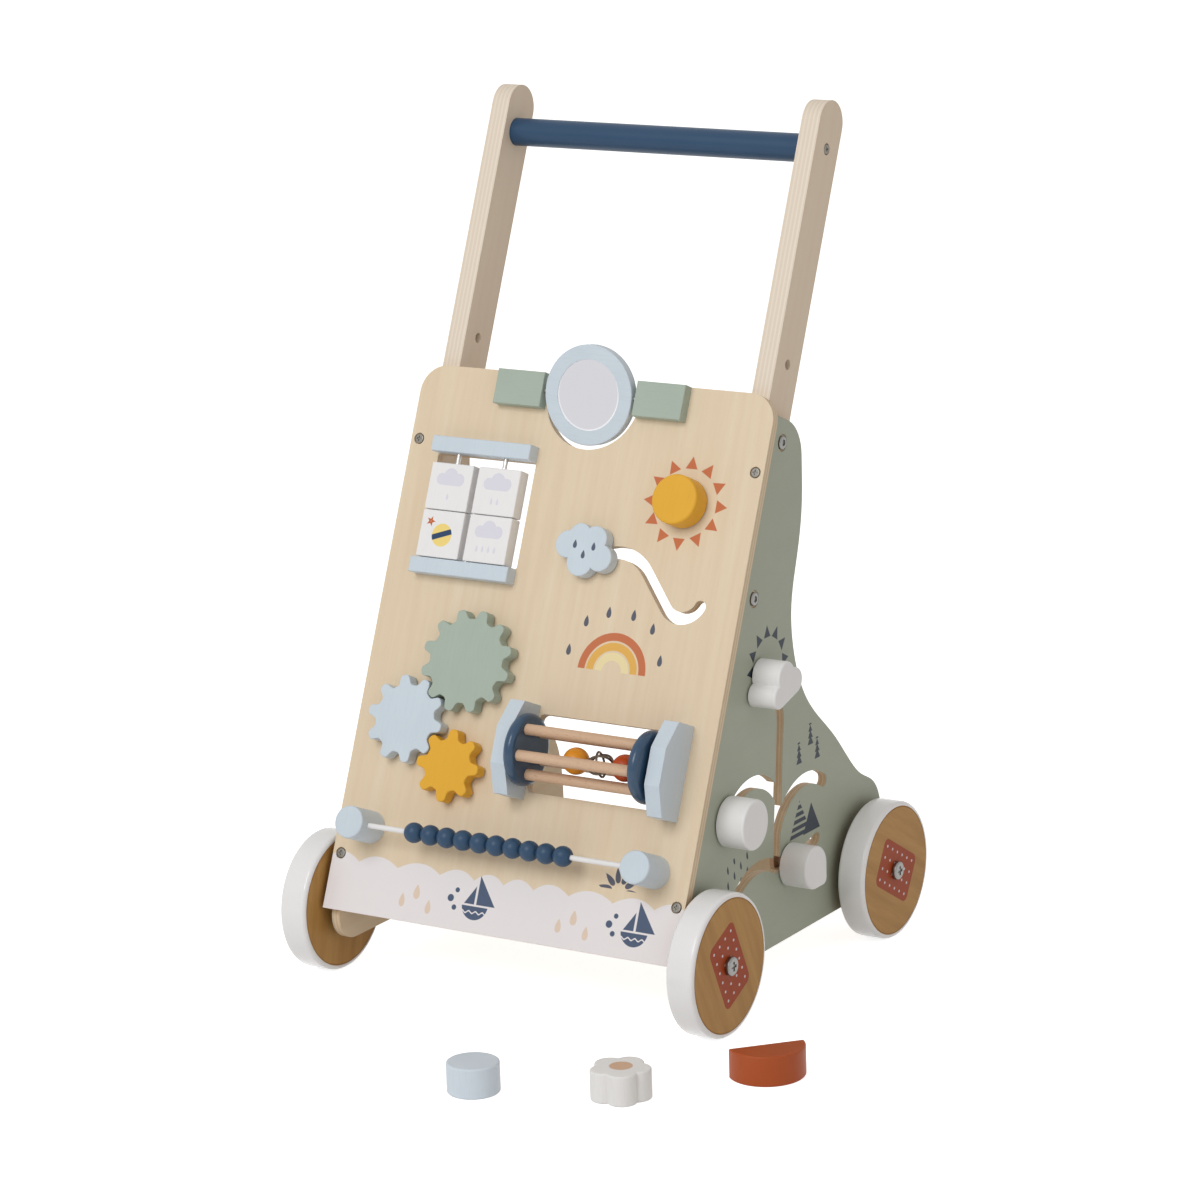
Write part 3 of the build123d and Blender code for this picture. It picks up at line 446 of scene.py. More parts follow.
fold = abs(x - arc_center[0])
rain = scatter(panel_finish, drop, fold, up, rain_places)
leaf_turn = panel_finish.sum("ARCTAN2", up - leaf_center[1], x - leaf_center[0])
leaf_reach = panel_finish.root((x - leaf_center[0]) ** 2.0 + (up - leaf_center[1]) ** 2.0)
leaf_angle = (leaf_turn + leaf_sector / 2) % leaf_sector - leaf_sector / 2
leaves = drop(panel_finish, leaf_reach * leaf_angle, leaf_reach - leaf_start, *leaf_size)
leaves &= leaf_center[1] + leaf_foot - up
rain |= leaves
wood = panel_finish.printed(wood, drop_blue, rain, on_face, share=0.93)

arc_reach = disc(panel_finish, x - arc_center[0], up - arc_center[1], 0.0)
for (inner, outer), tint in zip(arc_radii, (arc_cream, arc_yellow, ray_orange)):
    band = (arc_reach - outer) & (inner - arc_reach) & (arc_center[1] - up)
    wood = panel_finish.printed(wood, tint, band, on_face, share=0.92)
panel_finish.show(wood, 0.46 + fibres * 0.14, fibres, height=0.03)

dress("front_panel", "front_panel_sheet", panel_finish, ease=0.7 * mm)


# ---------------------------------------------------------------------------------------------
# Side panels and rail. Two sheets of the same plywood, printed sage paint on their outer faces
# and bare wood elsewhere. The right one has the maze of slots, the left one the three posting
# holes. A birch rail screwed in between them low at the back keeps them apart.
# ---------------------------------------------------------------------------------------------
sage = colour(168, 174, 157)
print_blue = colour(30, 41, 58)
side_sheet = 6.0 * mm
paint_reach = 0.4
side_right = Vector((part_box("right_side_panel")[1].x, panel_foot.y, 0))
side_left = Vector((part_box("left_side_panel")[0].x, panel_foot.y, 0))
ray_mark = (125.3, 207.4)
ray_mark_ring = (18.2, 26.0)
ray_mark_half = 4.0
ray_mark_foot = 4.0
pine_height = 14.0
pine_tier = 4.3
pine_half = 3.7
pine_taper = 0.14
tier_taper = 0.42
pine_feet = ((162.8, 134.4), (177.8, 143.4), (186.3, 132.4))
hill_foot = 86.4
hill_slope = (0.86, 0.5, 0.0)
hill_tops = ((162.3, 110.4), (177.3, 105.4))
stripe_pitch = 4.4
stripe_gap = 1.35
shower_start = 67.3
shower_middle = 83.3
shower_half = (16.0, 9.0)
shower_pitch = 8.0
shower_fall = 10.0
shower_slant = 0.7
shower_drop = (1.25, 5.6)


def shade(tint, share, lift=0.0):
    """A colour made darker or lighter by a share."""
    return tuple(min(1.0, part * share + lift) for part in tint[:3]) + (1,)


def brushed_paint(finish, tint, along, across, depth, strength=1.0):
    """Sprayed paint in millimetres, with the wood's fibres telegraphing through it."""
    fibres = finish.noise(finish.drawn(along, across, depth, squeeze=0.06), size=0.8)
    cloudy = finish.noise(finish.drawn(along, across, depth, squeeze=0.5), size=22.0, detail=2.0)
    pale = shade(tint, 1.10, lift=0.01)
    paint = finish.stain(tint, pale, cloudy, low=0.35, high=0.70, share=0.35 * strength)
    deep = shade(tint, 0.88)
    paint = finish.stain(paint, deep, fibres, low=0.48, high=0.75, share=0.30 * strength)
    return paint, fibres


def pine(_, y, z):
    """The distance to a small pine: a stack of plain triangles."""
    tier = z % pine_tier
    width = pine_half - z * pine_taper - tier * tier_taper
    return (abs(y) - width) & (0 - z) & (z - pine_height)


def hill(y, z):
    """The distance to the two slopes of a hill below its top."""
    return past_edge(abs(y), z, hill_slope)


def side_finish(name, origin, outward):
    """Sage paint and prints on the outer face, bare wood inside and plies at the edges."""
    finish = Finish(name)
    (x, y, z), (facing, _, _) = finish.seat(origin)
    wood, fibres = birch(finish, y, z, x)
    sawn = plies(finish, wood, y + z, x, ply_count=5, sheet=side_sheet / mm)
    wood = finish.mix(finish.turned_away(facing), wood, sawn)
    paint, brushed = brushed_paint(finish, sage, y, z, x)
    ring = rays(finish, y - ray_mark[0], z - ray_mark[1], ray_count, *ray_mark_ring, ray_mark_half)
    ring &= ray_mark[1] - ray_mark_foot - z
    marks = ring | scatter(finish, pine, y, z, pine_feet)
    stripes = abs((z - hill_foot) % stripe_pitch - stripe_pitch / 2) - stripe_gap
    striped, plain = (hill(y - top_y, z - top_z) for top_y, top_z in hill_tops)
    hills = ((striped & stripes) | plain) & (hill_foot - z)
    column = (y - shower_start) % shower_pitch - shower_pitch / 2
    row = (z + (y - shower_start) * shower_slant) % shower_fall
    showers = drop(finish, column, row, *shower_drop) & (abs(y - shower_middle) - shower_half[0])
    marks = marks | hills | (showers & (abs(z - hill_foot) - shower_half[1]))
    paint = finish.printed(paint, print_blue, marks, share=0.96, soft=0.4)
    on_face = finish.inked(-paint_reach - x * outward, soft=0.2)
    rough = 0.50 + fibres * 0.12 - on_face * 0.06
    bump = fibres + on_face * (brushed - fibres)
    finish.show(finish.mix(on_face, wood, paint), rough, bump, height=0.03)
    return finish


for side, origin, outward in (("right", side_right, 1), ("left", side_left, -1)):
    finish = side_finish("sage side " + side, origin, outward)
    dress(side + "_side_panel", side + "_side_sheet", finish, ease=0.6 * mm)

rail_finish = Finish("birch rail")
(x, y, z), (facing, _, _) = rail_finish.seat(side_left)
wood, fibres = birch(rail_finish, x, y, z)
end_grain = rail_finish.noise(rail_finish.point(y, z), size=0.7)
ends = rail_finish.inked(0.6 - abs(facing)) * (0.25 + end_grain * 0.4)
rail_wood = rail_finish.mix(ends, wood, birch_dark)
rail_finish.show(rail_wood, 0.48 + fibres * 0.14, fibres, height=0.03)
dress("rear_rail", "rear_rail_board", rail_finish, ease=1.2 * mm)


# ---------------------------------------------------------------------------------------------
# Uprights. Two strips of nine-ply birch with round tops, sanded and varnished, bolted to the
# inner faces of the side panels. An open bore for another bar height is left in each.
# ---------------------------------------------------------------------------------------------
upright_sheet = 13.0 * mm
upright_pale = colour(234, 218, 204)
upright_edge = colour(234, 226, 214)
other_board = 40.0


def upright_finish(name, node):
    """Birch along the upright, with its nine plies at the long edges."""
    finish = Finish(name)
    low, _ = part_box(node)
    origin = Vector((low.x, panel_foot.y, panel_foot.z))
    (x, up, out), (facing, _, _) = finish.seat(origin, panel_turn)
    wood, fibres = birch(finish, up, out, x + other_board)
    wood = finish.mix(0.40, wood, upright_pale)
    sawn = plies(finish, wood, up, x, ply_count=9, sheet=upright_sheet / mm)
    sawn = finish.mix(0.5, sawn, upright_edge)
    wood = finish.mix(finish.turned_away(facing), wood, sawn)
    finish.show(wood, 0.44 + fibres * 0.16, fibres, height=0.04)
    return finish


for side in ("left", "right"):
    finish = upright_finish(side + " upright birch", side + "_upright")
    dress(side + "_upright", side + "_upright_strip", finish, ease=1.2 * mm)


# ---------------------------------------------------------------------------------------------
# Bar and fixed blocks: handlebar, mirror blocks, window bars, drum brackets and abacus posts.
# Beech, sanded, its edges eased, and sprayed with water-based colour that lies a little thinner
# where the grain stands up.
# ---------------------------------------------------------------------------------------------
light_blue = colour(201, 212, 221)
dark_blue = colour(42, 72, 102)
sun_yellow = colour(226, 170, 50)
rust = colour(167, 76, 29)
gear_sage = colour(166, 179, 166)
toy_white = colour(234, 233, 233)


def painted(name, tint, shine, grain="up", strength=1.0, relief=0.02):
    """A coat of paint over wood whose grain runs up the slope or across the walker."""
    finish = Finish(name)
    (x, up, out), _ = finish.seat(panel_foot, panel_turn)
    along, across = (up, x) if grain == "up" else (x, up)
    paint, fibres = brushed_paint(finish, tint, along, across, out, strength)
    finish.show(paint, shine + fibres * 0.10, fibres, relief)
    return finish


dark_bar = painted("dark blue bar", dark_blue, shine=0.34, grain="across")
dress("handlebar", "handle_bar", dark_bar, ease=0.4 * mm)
sage_blocks = painted("sage blocks", gear_sage, shine=0.42, grain="across")
dress("mirror_blocks", "mirror_block_pair", sage_blocks, ease=0.6 * mm)
blue_blocks = painted("light blue blocks", light_blue, shine=0.40)
for node, name in (("window_bars", "window_bar_pair"), ("drum_brackets", "drum_bracket_pair"),
                   ("abacus_posts", "abacus_post_pair")):
    dress(node, name, blue_blocks, ease=0.6 * mm)


# ---------------------------------------------------------------------------------------------
# Flip mirror. A light blue beech ring that turns on two steel pins between the sage blocks,
# with a round of silvered acrylic glued flush into its front.
# ---------------------------------------------------------------------------------------------
blue_ring = painted("light blue ring", light_blue, shine=0.38, grain="across", strength=1.2)
dress("mirror_ring", "mirror_ring_wood", blue_ring, ease=0.8 * mm)

highlight_ring_radii = (21.2, 22.2)
mirror_silver = colour(215, 214, 219)
mirror_haze = colour(204, 203, 209)
highlight_silver = colour(236, 236, 238)
mirror_finish = Finish("silvered acrylic")
(x, up, out), _ = mirror_finish.seat(joint_place["mirror_flip"], panel_turn)
smears = mirror_finish.noise(mirror_finish.point(x, up), size=12.0)
# The outer millimetre of the glass is mixed to a paler silver and made rougher: a painted highlight
# round its edge.
highlight_ring = mirror_finish.ramp(disc(mirror_finish, x, up, 0.0), *highlight_ring_radii)
silver = mirror_finish.mix(smears * 0.25, mirror_silver, mirror_haze)
silver = mirror_finish.mix(highlight_ring, silver, highlight_silver)
mirror_finish.shader.inputs["Metallic"].default_value = 1.0
mirror_finish.show(silver, 0.05 + smears * 0.10 + highlight_ring * 0.2, smears, height=0.004)
dress("mirror_glass", "mirror_round", mirror_finish, ease=0.25 * mm)


# ---------------------------------------------------------------------------------------------
# Window blocks. Four white blocks that turn on two steel rods, printed on both broad faces with
# a pale cloud and its drops, one of them with a striped ball and a star.
# ---------------------------------------------------------------------------------------------
cloud_lilac = colour(219, 217, 227)
ball_yellow = colour(240, 214, 128)
puff_places = ((-6.4, 4.6, 3.8), (0.0, 6.8, 5.2), (6.4, 4.8, 4.1))
puff_foot = 2.9
puff_half = (6.6, 2.1)
drop_pitch = 4.4
drop_foot = -8.6
small_drop = (1.0, 4.6)
ball_place = (1.2, -0.6)
ball_radius = 7.4
stripe_slope = 0.35
stripe_half = 1.9
star_place = (-8.6, 7.6)
star_points = 5
star_ring = (0.2, 3.4)
star_half = 1.3


def block_finish(name, node, drop_count):
    """White paint with a print in the middle of the block's broad faces."""
    finish = Finish(name)
    low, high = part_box(node)
    middle_x, middle_up, _ = on_panel((low + high) / 2)
    (x, up, out), (_, _, facing) = finish.seat(panel_foot, panel_turn)
    paint, fibres = brushed_paint(finish, toy_white, up, x, out, strength=0.6)
    x, up = x - middle_x, up - middle_up
    on_face = finish.broad_face(abs(facing))
    if drop_count:
        puffs = scatter(finish, disc, x, up, puff_places)
        puffs |= (abs(x) - puff_half[0]) & (abs(up - puff_foot) - puff_half[1])
        for place in range(drop_count):
            aside = (place - (drop_count - 1) / 2) * drop_pitch
            puffs |= drop(finish, x - aside, up - drop_foot, *small_drop)
        paint = finish.printed(paint, cloud_lilac, puffs, on_face, soft=0.5)
    else:
        ball = disc(finish, x - ball_place[0], up - ball_place[1], ball_radius)
        stripe = abs(up - ball_place[1] - x * stripe_slope) - stripe_half
        star_x, star_up = x - star_place[0], up - star_place[1]
        star = rays(finish, star_x, star_up, star_points, *star_ring, star_half)
        paint = finish.printed(paint, ball_yellow, ball, on_face)
        paint = finish.printed(paint, boat_blue, ball & stripe, on_face)
        paint = finish.printed(paint, ray_orange, star, on_face)
    finish.show(paint, 0.40 + fibres * 0.08, fibres, height=0.012)
    return finish


for corner, drop_count in (("upper_left", 1), ("upper_right", 2),
                           ("lower_right", 4), ("lower_left", 0)):
    node = corner + "_window_block"
    finish = block_finish(corner + " print", node, drop_count)
    dress(node, corner + "_block", finish, ease=0.45 * mm)


def metal(name, tint, shine, scratches=0.10):
    """Plain metal with fine drawn lines and a little unevenness in its shine."""
    finish = Finish(name)
    (x, up, out), _ = finish.seat(panel_foot, panel_turn)
    lines = finish.noise(finish.point(x * 0.2, up, out), size=0.35)
    dull = finish.noise(finish.point(x, up, out), size=4.0, detail=2.0)
    drawn_metal = finish.mix(lines * 0.5, tint, shade(tint, 0.80))
    finish.shader.inputs["Metallic"].default_value = 1.0
    finish.show(drawn_metal, shine + dull * scratches, lines, height=0.008)
    return finish


steel = metal("zinc plate", colour(196, 194, 190), shine=0.24)
dress("window_rods", "window_rod_pair", steel, ease=0.2 * mm)
dress("pivot_pins", "pivot_pin_set", steel, ease=0.2 * mm)


# ---------------------------------------------------------------------------------------------
# Sun and cloud. A thick yellow button that turns on its peg inside the printed rays, and a
# light blue cloud that swings along the curved slot. Their headed beech pegs sit behind.
# ---------------------------------------------------------------------------------------------
beech_pale = colour(212, 180, 152)
beech_warm = colour(199, 163, 132)
beech_fleck = colour(164, 122, 90)
cloud_drops = ((-6.6, 0.6, 1.5, 5.6), (0.4, -5.4, 1.5, 5.6), (7.0, 0.2, 1.5, 5.6))


def beech(name, grain=2, shine=0.46):
    """Bare beech, its grain along one axis of the panel: pinkish, with short dark flecks."""
    finish = Finish(name)
    reach, facing = finish.seat(panel_foot, panel_turn)
    along = reach.pop(grain)
    across, deep = reach
    broad = finish.noise(finish.drawn(along, across, deep, squeeze=0.08), size=7.0)
    fibres = finish.noise(finish.drawn(along, across, deep, squeeze=0.05), size=0.5)
    flecks = finish.noise(finish.drawn(along, across, deep, squeeze=0.18), size=0.42, detail=1.0)
    wood = finish.stain(beech_pale, beech_warm, broad, low=0.35, high=0.70)
    wood = finish.stain(wood, beech_warm, fibres, low=0.45, high=0.75, share=0.35)
    wood = finish.stain(wood, beech_fleck, flecks, low=0.62, high=0.74, share=0.55)
    end_grain = finish.inked(0.8 - abs(facing[grain]), soft=0.2)
    rings = finish.noise(finish.point(across, deep), size=0.6, detail=2.0)
    wood = finish.mix(end_grain * (0.20 + rings * 0.35), wood, beech_fleck)
    finish.show(wood, shine + fibres * 0.16, fibres, height=0.03)
    return finish


sun_paint = painted("sun yellow", sun_yellow, shine=0.40)
dress("sun_knob", "sun_button", sun_paint, ease=1.0 * mm)

cloud_paint = Finish("light blue cloud")
cloud_low, cloud_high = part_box("cloud_slider")
cloud_x, cloud_up, _ = on_panel((cloud_low + cloud_high) / 2)
(x, up, out), (_, _, facing) = cloud_paint.seat(panel_foot, panel_turn)
paint, fibres = brushed_paint(cloud_paint, light_blue, up, x, out)
x, up = x - cloud_x, up - cloud_up
three = scatter(cloud_paint, drop, x, up, cloud_drops)
front_face = cloud_paint.broad_face(facing)
paint = cloud_paint.printed(paint, drop_blue, three, front_face, share=0.93)
cloud_paint.show(paint, 0.40 + fibres * 0.1, fibres, height=0.02)
dress("cloud_slider", "cloud_button", cloud_paint, ease=1.1 * mm)

peg_beech = beech("beech pegs")
for peg in ("sun_peg", "cloud_peg"):
    dress(peg, peg + "_turning", peg_beech, ease=0.5 * mm)


# ---------------------------------------------------------------------------------------------
# Gears. Three toothed wheels sawn from board, their teeth rounded and their edges sanded soft,
# painted sage, light blue and yellow. Each turns on a headed beech peg pressed in from behind.
# ---------------------------------------------------------------------------------------------
gear_gap = 1.0 * mm
gear_board = 9.0 * mm
gear_module = 5.0 * mm
tooth_height = 3.15 * mm
tooth_fullness = 1.9
tooth_slack = 0.1
tooth_corners = 32
gear_ease = 0.8 * mm
socket_radius = 3.55 * mm
socket_depth = 6.1 * mm
socket_corners = 48


def toothed_board(node, name, teeth, tooth_angle):
    """A gear sawn round its axis, one tooth at an angle, a blind socket bored in its back."""
    across, up, _ = on_panel(joint_place[node + "_turn"])
    across_and_up = Vector((across * mm, 0, 0)) + panel_up * up * mm
    bpy.ops.object.select_all(action="DESELECT")
    bpy.ops.mesh.primitive_cylinder_add(vertices=socket_corners, radius=socket_radius,
                                        depth=socket_depth * 2)
    drill = bpy.context.object
    bpy.ops.mesh.primitive_circle_add(vertices=teeth * tooth_corners, radius=1.0, fill_type="NGON")
    piece = bpy.context.object
    piece.name = name
    for corner in piece.data.vertices:
        lead = math.atan2(corner.co.y, corner.co.x) - math.radians(tooth_angle)
        wave = math.tanh(tooth_fullness * (math.cos(teeth * lead) - tooth_slack))
        reach = gear_module * teeth / 2 + tooth_height * wave / math.tanh(tooth_fullness)
        corner.co = corner.co.normalized() * reach
    bpy.ops.object.mode_set(mode="EDIT")
    bpy.ops.mesh.select_all(action="SELECT")
    bpy.ops.mesh.extrude_region_move(TRANSFORM_OT_translate={"value": (0, 0, gear_board)})
    bpy.ops.mesh.select_all(action="SELECT")
    bpy.ops.mesh.normals_make_consistent(inside=False)
    bpy.ops.object.mode_set(mode="OBJECT")
    bored = piece.modifiers.new("socket", "BOOLEAN")
    bored.operation = "DIFFERENCE"
    bored.object = drill
    bpy.ops.object.modifier_apply(modifier=bored.name)
    bpy.data.objects.remove(drill)
    sand_edges(piece, gear_ease, segments=4)
    piece.location = panel_foot + across_and_up + panel_out * gear_gap
    piece.rotation_euler = panel_turn
    bpy.ops.object.transform_apply(location=True, rotation=True, scale=True)
    level_faces(piece)
    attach(piece, frame["nodes"][node]["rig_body"])
    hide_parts(node)
    return piece


for gear, teeth, tooth_angle, tint, slot in (
        ("green_gear", 12, 17.8, gear_sage, "sage_paint"),
        ("blue_gear", 10, 29.8, light_blue, "light_blue_paint"),
        ("yellow_gear", 8, 43.75, sun_yellow, "yellow_paint")):
    board = toothed_board(gear, gear + "_board", teeth, tooth_angle)
    finish_with(board, painted(gear + " paint", tint, shine=0.40))
    peg = gear + "_peg"
    dress(peg, peg + "_turning", peg_beech, ease=0.5 * mm)


# ---------------------------------------------------------------------------------------------
# Rolling drum. Two glossy navy discs with their rims turned round, joined by five beech dowels,
# with a yellow ball, a rust ball and a bell of three crossed wire rings on its axis.
# ---------------------------------------------------------------------------------------------
drum_navy = colour(42, 72, 100)
ball_orange = colour(228, 150, 40)
ball_rust = colour(190, 76, 28)
drum_blue = painted("navy discs", drum_navy, shine=0.26, strength=0.4, relief=0.004)
drum_blue.shader.inputs["Coat Weight"].default_value = 0.35
drum_blue.shader.inputs["Coat Roughness"].default_value = 0.12
dress("drum_discs", "drum_disc_pair", drum_blue)
dowel_beech = beech("beech dowels", grain=0, shine=0.40)
dress("drum_dowels", "drum_dowel_set", dowel_beech)
orange_paint = painted("orange ball paint", ball_orange, shine=0.26, strength=0.4, relief=0.004)
dress("orange_ball", "orange_bead", orange_paint)
rust_paint = painted("rust ball paint", ball_rust, shine=0.26, strength=0.4, relief=0.004)
dress("red_ball", "rust_bead", rust_paint)
bell_metal = metal("bell metal", colour(112, 100, 88), shine=0.28)
dress("wire_bell", "strip_bell", bell_metal)


# ---------------------------------------------------------------------------------------------
# Bead rail. A white lacquered rod between the two posts with ten navy beads on it, all the same
# turned and sprayed shape, that slide from post to post.
# ---------------------------------------------------------------------------------------------
rod_white = painted("white rod", toy_white, shine=0.34, grain="across", strength=0.5)
dress("abacus_rod", "bead_rod", rod_white)
bead_blue = painted("navy beads", colour(46, 74, 102), shine=0.33, strength=0.5, relief=0.006)
for place in range(1, 11):
    dress(f"bead_{place}", f"navy_bead_{place}", bead_blue, ease=0.5 * mm)


# ---------------------------------------------------------------------------------------------
# Wheels. Turned wood with a white sprayed rim rolled round at both edges, a round of varnished
# veneer let into each side, a raised boss inside and a bore for the bolt.
# ---------------------------------------------------------------------------------------------
wheel_radius = 45.0 * mm
wheel_width = 19.0 * mm
boss_radius = 11.0 * mm
bore_radius = 3.2 * mm
rim_round = 2.6 * mm
rim_segments = 7
groove = ((0.15 * mm, 0), (0.3 * mm, -0.5 * mm), (0.4 * mm, 0), (0.25 * mm, 0.45 * mm))
boss_ease = 0.4 * mm
wheel_segments = 144
cap_slack = 0.5 * mm
veneer_radius = 42.1
veneer_tan = colour(190, 146, 84)
veneer_dark = colour(162, 116, 60)
patch_rust = colour(156, 56, 10)
patch_half = (11.0, 19.0)
patch_corner = 5.0
dot_pitch = 7.5
dot_radius = 0.9
dot_margin = 1.4
print_depth = 4.0
veneer_depth = 8.7
line_inset = 0.2
line_half = 0.35
rim_strength = 0.5
rim_gloss = 0.12
coat = 0.6
bare_coat = 0.05
coat_roughness = 0.14


def pick_caps(piece, place=None):
    """Selects both round caps of a wheel, or the one at a place along X."""
    bpy.ops.mesh.select_all(action="DESELECT")
    bpy.ops.object.mode_set(mode="OBJECT")
    for face in piece.data.polygons:
        there = place is None or abs(face.center.x - place) < cap_slack
        face.select = there and len(face.vertices) == wheel_segments
    bpy.ops.object.mode_set(mode="EDIT")


def work(piece, place, *steps):
    """Insets the round cap at one place along X, each step by a thickness and a depth."""
    pick_caps(piece, place)
    for thickness, depth in steps:
        bpy.ops.mesh.inset(thickness=thickness, depth=depth)


def turned_wheel(node, name, outward):
    """A wheel made where its node stands, its outer side along X by the sign of outward."""
    low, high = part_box(node)
    middle = (low + high) / 2
    outer = high.x if outward > 0 else low.x
    inner = outer - wheel_width * outward
    bpy.ops.object.select_all(action="DESELECT")
    bpy.ops.mesh.primitive_cylinder_add(vertices=wheel_segments, radius=wheel_radius,
                                        depth=wheel_width,
                                        location=((outer + inner) / 2, middle.y, middle.z),
                                        rotation=(0, math.pi / 2, 0))
    piece = bpy.context.object
    piece.name = name
    bpy.ops.object.transform_apply(location=True, rotation=True, scale=True)
    bpy.ops.object.mode_set(mode="EDIT")
    bpy.ops.mesh.select_mode(type="FACE")
    pick_caps(piece)
    bpy.ops.mesh.bevel(offset=rim_round, segments=rim_segments, affect="EDGES")
    veneer = wheel_radius - rim_round - sum(inset for inset, _ in groove)
    work(piece, outer, *groove, (veneer - bore_radius, 0))
    boss_height = high.x - low.x - wheel_width
    boss = ((veneer - boss_radius, 0), (boss_ease, boss_height - boss_ease), (boss_ease, boss_ease))
    work(piece, inner, *groove, *boss, (boss_radius - 2 * boss_ease - bore_radius, 0))
    pick_caps(piece)
    bpy.ops.mesh.bridge_edge_loops()
    bpy.ops.mesh.select_all(action="SELECT")
    bpy.ops.mesh.normals_make_consistent(inside=False)
    bpy.ops.object.mode_set(mode="OBJECT")
    bpy.ops.object.shade_smooth_by_angle(angle=smooth_edge)
    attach(piece, frame["nodes"][node]["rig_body"])
    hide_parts(node)
    return piece


def wheel_finish(name, node, outward, patch_turn):
    """White paint at the rim, veneer inside it and a rust patch with white dots in the middle."""
    finish = Finish(name)
    low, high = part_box(node)
    middle = (low + high) / 2
    origin = Vector((high.x if outward > 0 else low.x, middle.y, middle.z))
    (x, y, z), _ = finish.seat(origin, (math.radians(patch_turn), 0, 0))
    reach = finish.root(y * y + z * z)
    fibres = finish.noise(finish.drawn(z, y, squeeze=0.05), size=0.8, detail=4.0, roughness=0.6)
    broad = finish.noise(finish.drawn(z, y, squeeze=0.09), size=9.0)
    pores = finish.noise(finish.drawn(z, y, squeeze=0.10), size=0.55, detail=1.0)
    wood = finish.stain(veneer_tan, veneer_dark, broad, low=0.35, high=0.70, share=0.7)
    wood = finish.stain(wood, veneer_dark, fibres, low=0.42, high=0.75, share=0.40)
    wood = finish.stain(wood, ply_brown, pores, low=0.66, high=0.78, share=0.35)
    past = [(abs(way) - half & 0.0) ** 2.0 for way, half in zip((y, z), patch_half)]
    patch = finish.root(past[0] + past[1]) - patch_corner
    cells = [(way % dot_pitch - dot_pitch / 2) ** 2.0 for way in (y, z)]
    dots = finish.root(cells[0] + cells[1]) - dot_radius
    patch &= -print_depth - x * outward
    wood = finish.printed(wood, patch_rust, patch, share=0.95)
    wood = finish.printed(wood, border_white, (patch + dot_margin) & dots, share=0.9)
    paint, _ = brushed_paint(finish, toy_white, z, y, x, rim_strength)
    aside = abs(x * outward + wheel_width / mm / 2)
    past_veneer = reach - veneer_radius
    on_veneer = finish.inked(past_veneer, soft=0.15) * finish.inked(veneer_depth - aside, soft=0.2)
    edge_line = finish.inked(abs(past_veneer + line_inset) - line_half, soft=0.2) * on_veneer
    base = finish.mix(on_veneer, paint, wood)
    finish.shader.inputs["Specular IOR Level"].default_value = rim_gloss
    finish.shader.inputs["Coat Roughness"].default_value = coat_roughness
    finish.feed(finish.shader.inputs["Coat Weight"], coat - on_veneer * (coat - bare_coat))
    base = finish.mix(edge_line * 0.5, base, veneer_dark)
    finish.show(base, 0.26 + on_veneer * 0.20, fibres * on_veneer, height=0.03)
    return finish


for node, outward, patch_turn in (("front_right_wheel", 1, 25.0), ("rear_right_wheel", 1, 60.0),
                                  ("front_left_wheel", -1, -10.0), ("rear_left_wheel", -1, 35.0)):
    wheel = turned_wheel(node, node.replace("wheel", "turned_wheel"), outward)
    finish_with(wheel, wheel_finish(node + " finish", node, outward, patch_turn))


# ---------------------------------------------------------------------------------------------
# Maze knobs. A crown, a round and a leaf of white painted beech that stand out from the right
# side panel, each glued to a headed beech peg that runs in the slot.
# ---------------------------------------------------------------------------------------------
knob_white = painted("white knobs", toy_white, shine=0.34, strength=0.5, relief=0.01)
maze_beech = beech("beech maze pegs", grain=0)
for knob in ("crown_knob", "round_knob", "leaf_knob"):
    dress(knob, knob + "_turning", knob_white)
    peg = knob + "_peg"
    dress(peg, peg + "_turning", maze_beech, ease=0.5 * mm)


# ---------------------------------------------------------------------------------------------
# Loose blocks. A light blue round, a white flower with a tan middle and a rust half moon, made
# to drop through the holes of the left side panel. Here they stand on the floor.
# ---------------------------------------------------------------------------------------------
# The loose round block's blue is the light blue of the fixed parts made paler: painted light on
# that block.
lit_block_blue = colour(208, 218, 227)
flower_white = colour(230, 228, 226)
flower_tan = colour(206, 166, 132)
flower_middle = 7.0


def block_paint(name, node, tint, middle_dot=0.0):
    """A coat of paint on a loose block, with a round dot in the middle of both flat faces."""
    finish = Finish(name)
    low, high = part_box(node)
    (x, y, z), (_, _, facing) = finish.seat((low + high) / 2)
    paint, fibres = brushed_paint(finish, tint, z, x, y)
    if middle_dot:
        dot = disc(finish, x, y, middle_dot)
        on_face = finish.broad_face(abs(facing))
        paint = finish.printed(paint, flower_tan, dot, on_face, share=0.95)
    finish.show(paint, 0.42 + fibres * 0.10, fibres, height=0.02)
    return finish


for node, tint, dot, slot in (("round_block", lit_block_blue, 0.0, "light_blue_paint"),
                              ("flower_block", flower_white, flower_middle, "white_paint"),
                              ("half_moon_block", rust, 0.0, "rust_paint")):
    dress(node, node + "_board", block_paint(node + " paint", node, tint, dot))


# ---------------------------------------------------------------------------------------------
# Screws and bolts. Zinc plated: cross-slot wood screws sunk in counterbores, socket bolts at
# the uprights, and the wheel bolts with their nuts inside the side panels.
# ---------------------------------------------------------------------------------------------
dull_zinc = metal("dull zinc", colour(132, 128, 121), shine=0.38)
dress("wood_screws", "wood_screw_set", dull_zinc, ease=0.12 * mm, segments=2)
bright_zinc = metal("bright zinc", colour(140, 139, 136), shine=0.26)
dress("frame_bolts", "frame_bolt_set", bright_zinc, ease=0.15 * mm, segments=2)


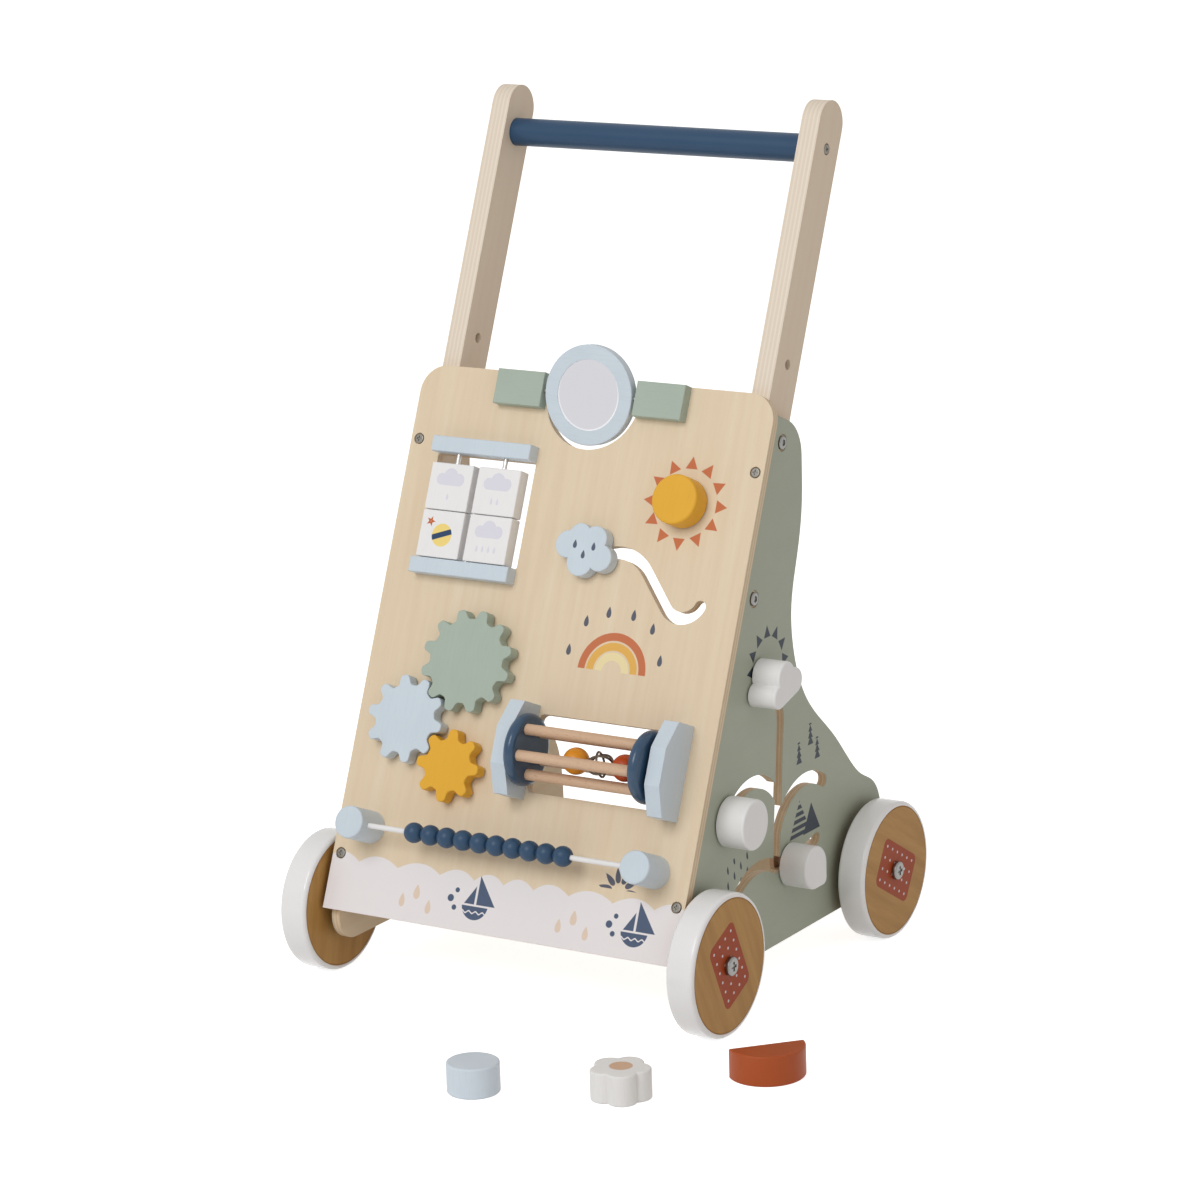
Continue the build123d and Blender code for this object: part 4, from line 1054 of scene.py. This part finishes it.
# ---------------------------------------------------------------------------------------------
# Stage. A wide white floor under a pale sky that the camera sees as plain white. A large soft
# lamp stands high in front, a weak one to the right, and the camera looks down a little.
# ---------------------------------------------------------------------------------------------
bpy.ops.object.select_all(action="DESELECT")
floor_size = 14.0
floor_glow = 0.75
floor_white = colour(238, 238, 238)
floor_grey = colour(232, 232, 234)
bpy.ops.mesh.primitive_plane_add(size=floor_size, location=(0, 0, 0))
floor = bpy.context.object
floor.name = "floor"
floor_finish = Finish("white floor")
spot = floor_finish.add("ShaderNodeTexCoord", output="Object")
grainy = floor_finish.noise(spot, size=0.6, detail=2.0)
glow = floor_finish.mix(floor_finish.seen_ray(), colour(0, 0, 0), colour(255, 255, 255))
floor_finish.feed(floor_finish.shader.inputs["Emission Color"], glow)
floor_finish.shader.inputs["Emission Strength"].default_value = floor_glow
floor_finish.show(floor_finish.mix(grainy * 0.1, floor_white, floor_grey), 0.9)
finish_with(floor, floor_finish)

scene = bpy.context.scene
scene.view_settings.view_transform = "Standard"


class Sky(Finish):
    """The world's light in the making."""

    def __init__(self, world):
        world.use_nodes = True
        self.tree = world.node_tree

    def light(self, tint, strength):
        return self.add("ShaderNodeBackground", {}, {"Color": tint, "Strength": strength})


scene.world = bpy.data.worlds.new("pale sky")
sky = Sky(scene.world)
seen = sky.seen_ray()
dim_sky = sky.light((1, 0.96, 0.92, 1), strength=0.48)
white_sky = sky.light((1, 1, 1, 1), strength=1.0)
both = sky.add("ShaderNodeMixShader", {}, {0: seen, 1: dim_sky, 2: white_sky})
sky.feed(sky.tree.nodes["World Output"].inputs["Surface"], both)


def softbox(name, place, target, size, power, tint):
    """A square soft lamp at a place, turned to a target."""
    lamp = bpy.data.lights.new(name, "AREA")
    lamp.shape = "SQUARE"
    lamp.size = size
    lamp.energy = power
    lamp.color = tint
    holder = bpy.data.objects.new(name, lamp)
    scene.collection.objects.link(holder)
    holder.location = place
    holder.rotation_euler = (Vector(target) - Vector(place)).to_track_quat("-Z", "Y").to_euler()


walker_middle = (0, 0, 0.25)
softbox("key lamp", (-0.2, -2.6, 2.3), walker_middle, size=1.6, power=49, tint=(0.95, 0.98, 1.0))
softbox("fill lamp", (2.4, -1.2, 1.4), walker_middle, size=1.8, power=3, tint=(1.0, 0.93, 0.86))

camera_data = bpy.data.cameras.new("camera")
camera_data.sensor_width = 36
camera_data.lens = 129.03
camera = bpy.data.objects.new("camera", camera_data)
scene.collection.objects.link(camera)
camera_reach = Vector((1.40937, -2.10962, 0.89049))
camera_turn = math.radians(32.13)
camera_tilt = math.radians(13.92)
camera_roll = math.radians(-1.63)
back = Vector((math.sin(camera_turn) * math.cos(camera_tilt),
               -math.cos(camera_turn) * math.cos(camera_tilt), math.sin(camera_tilt)))
level = Vector((0, 0, 1)).cross(back).normalized()
upward = back.cross(level)
right = level * math.cos(camera_roll) + upward * math.sin(camera_roll)
above = upward * math.cos(camera_roll) - level * math.sin(camera_roll)
turned = Matrix((right, above, back)).transposed()
stand = Vector((panel_middle, panel_low.y, 0)) + camera_reach
camera.matrix_world = Matrix.Translation(stand) @ turned.to_4x4()
scene.camera = camera
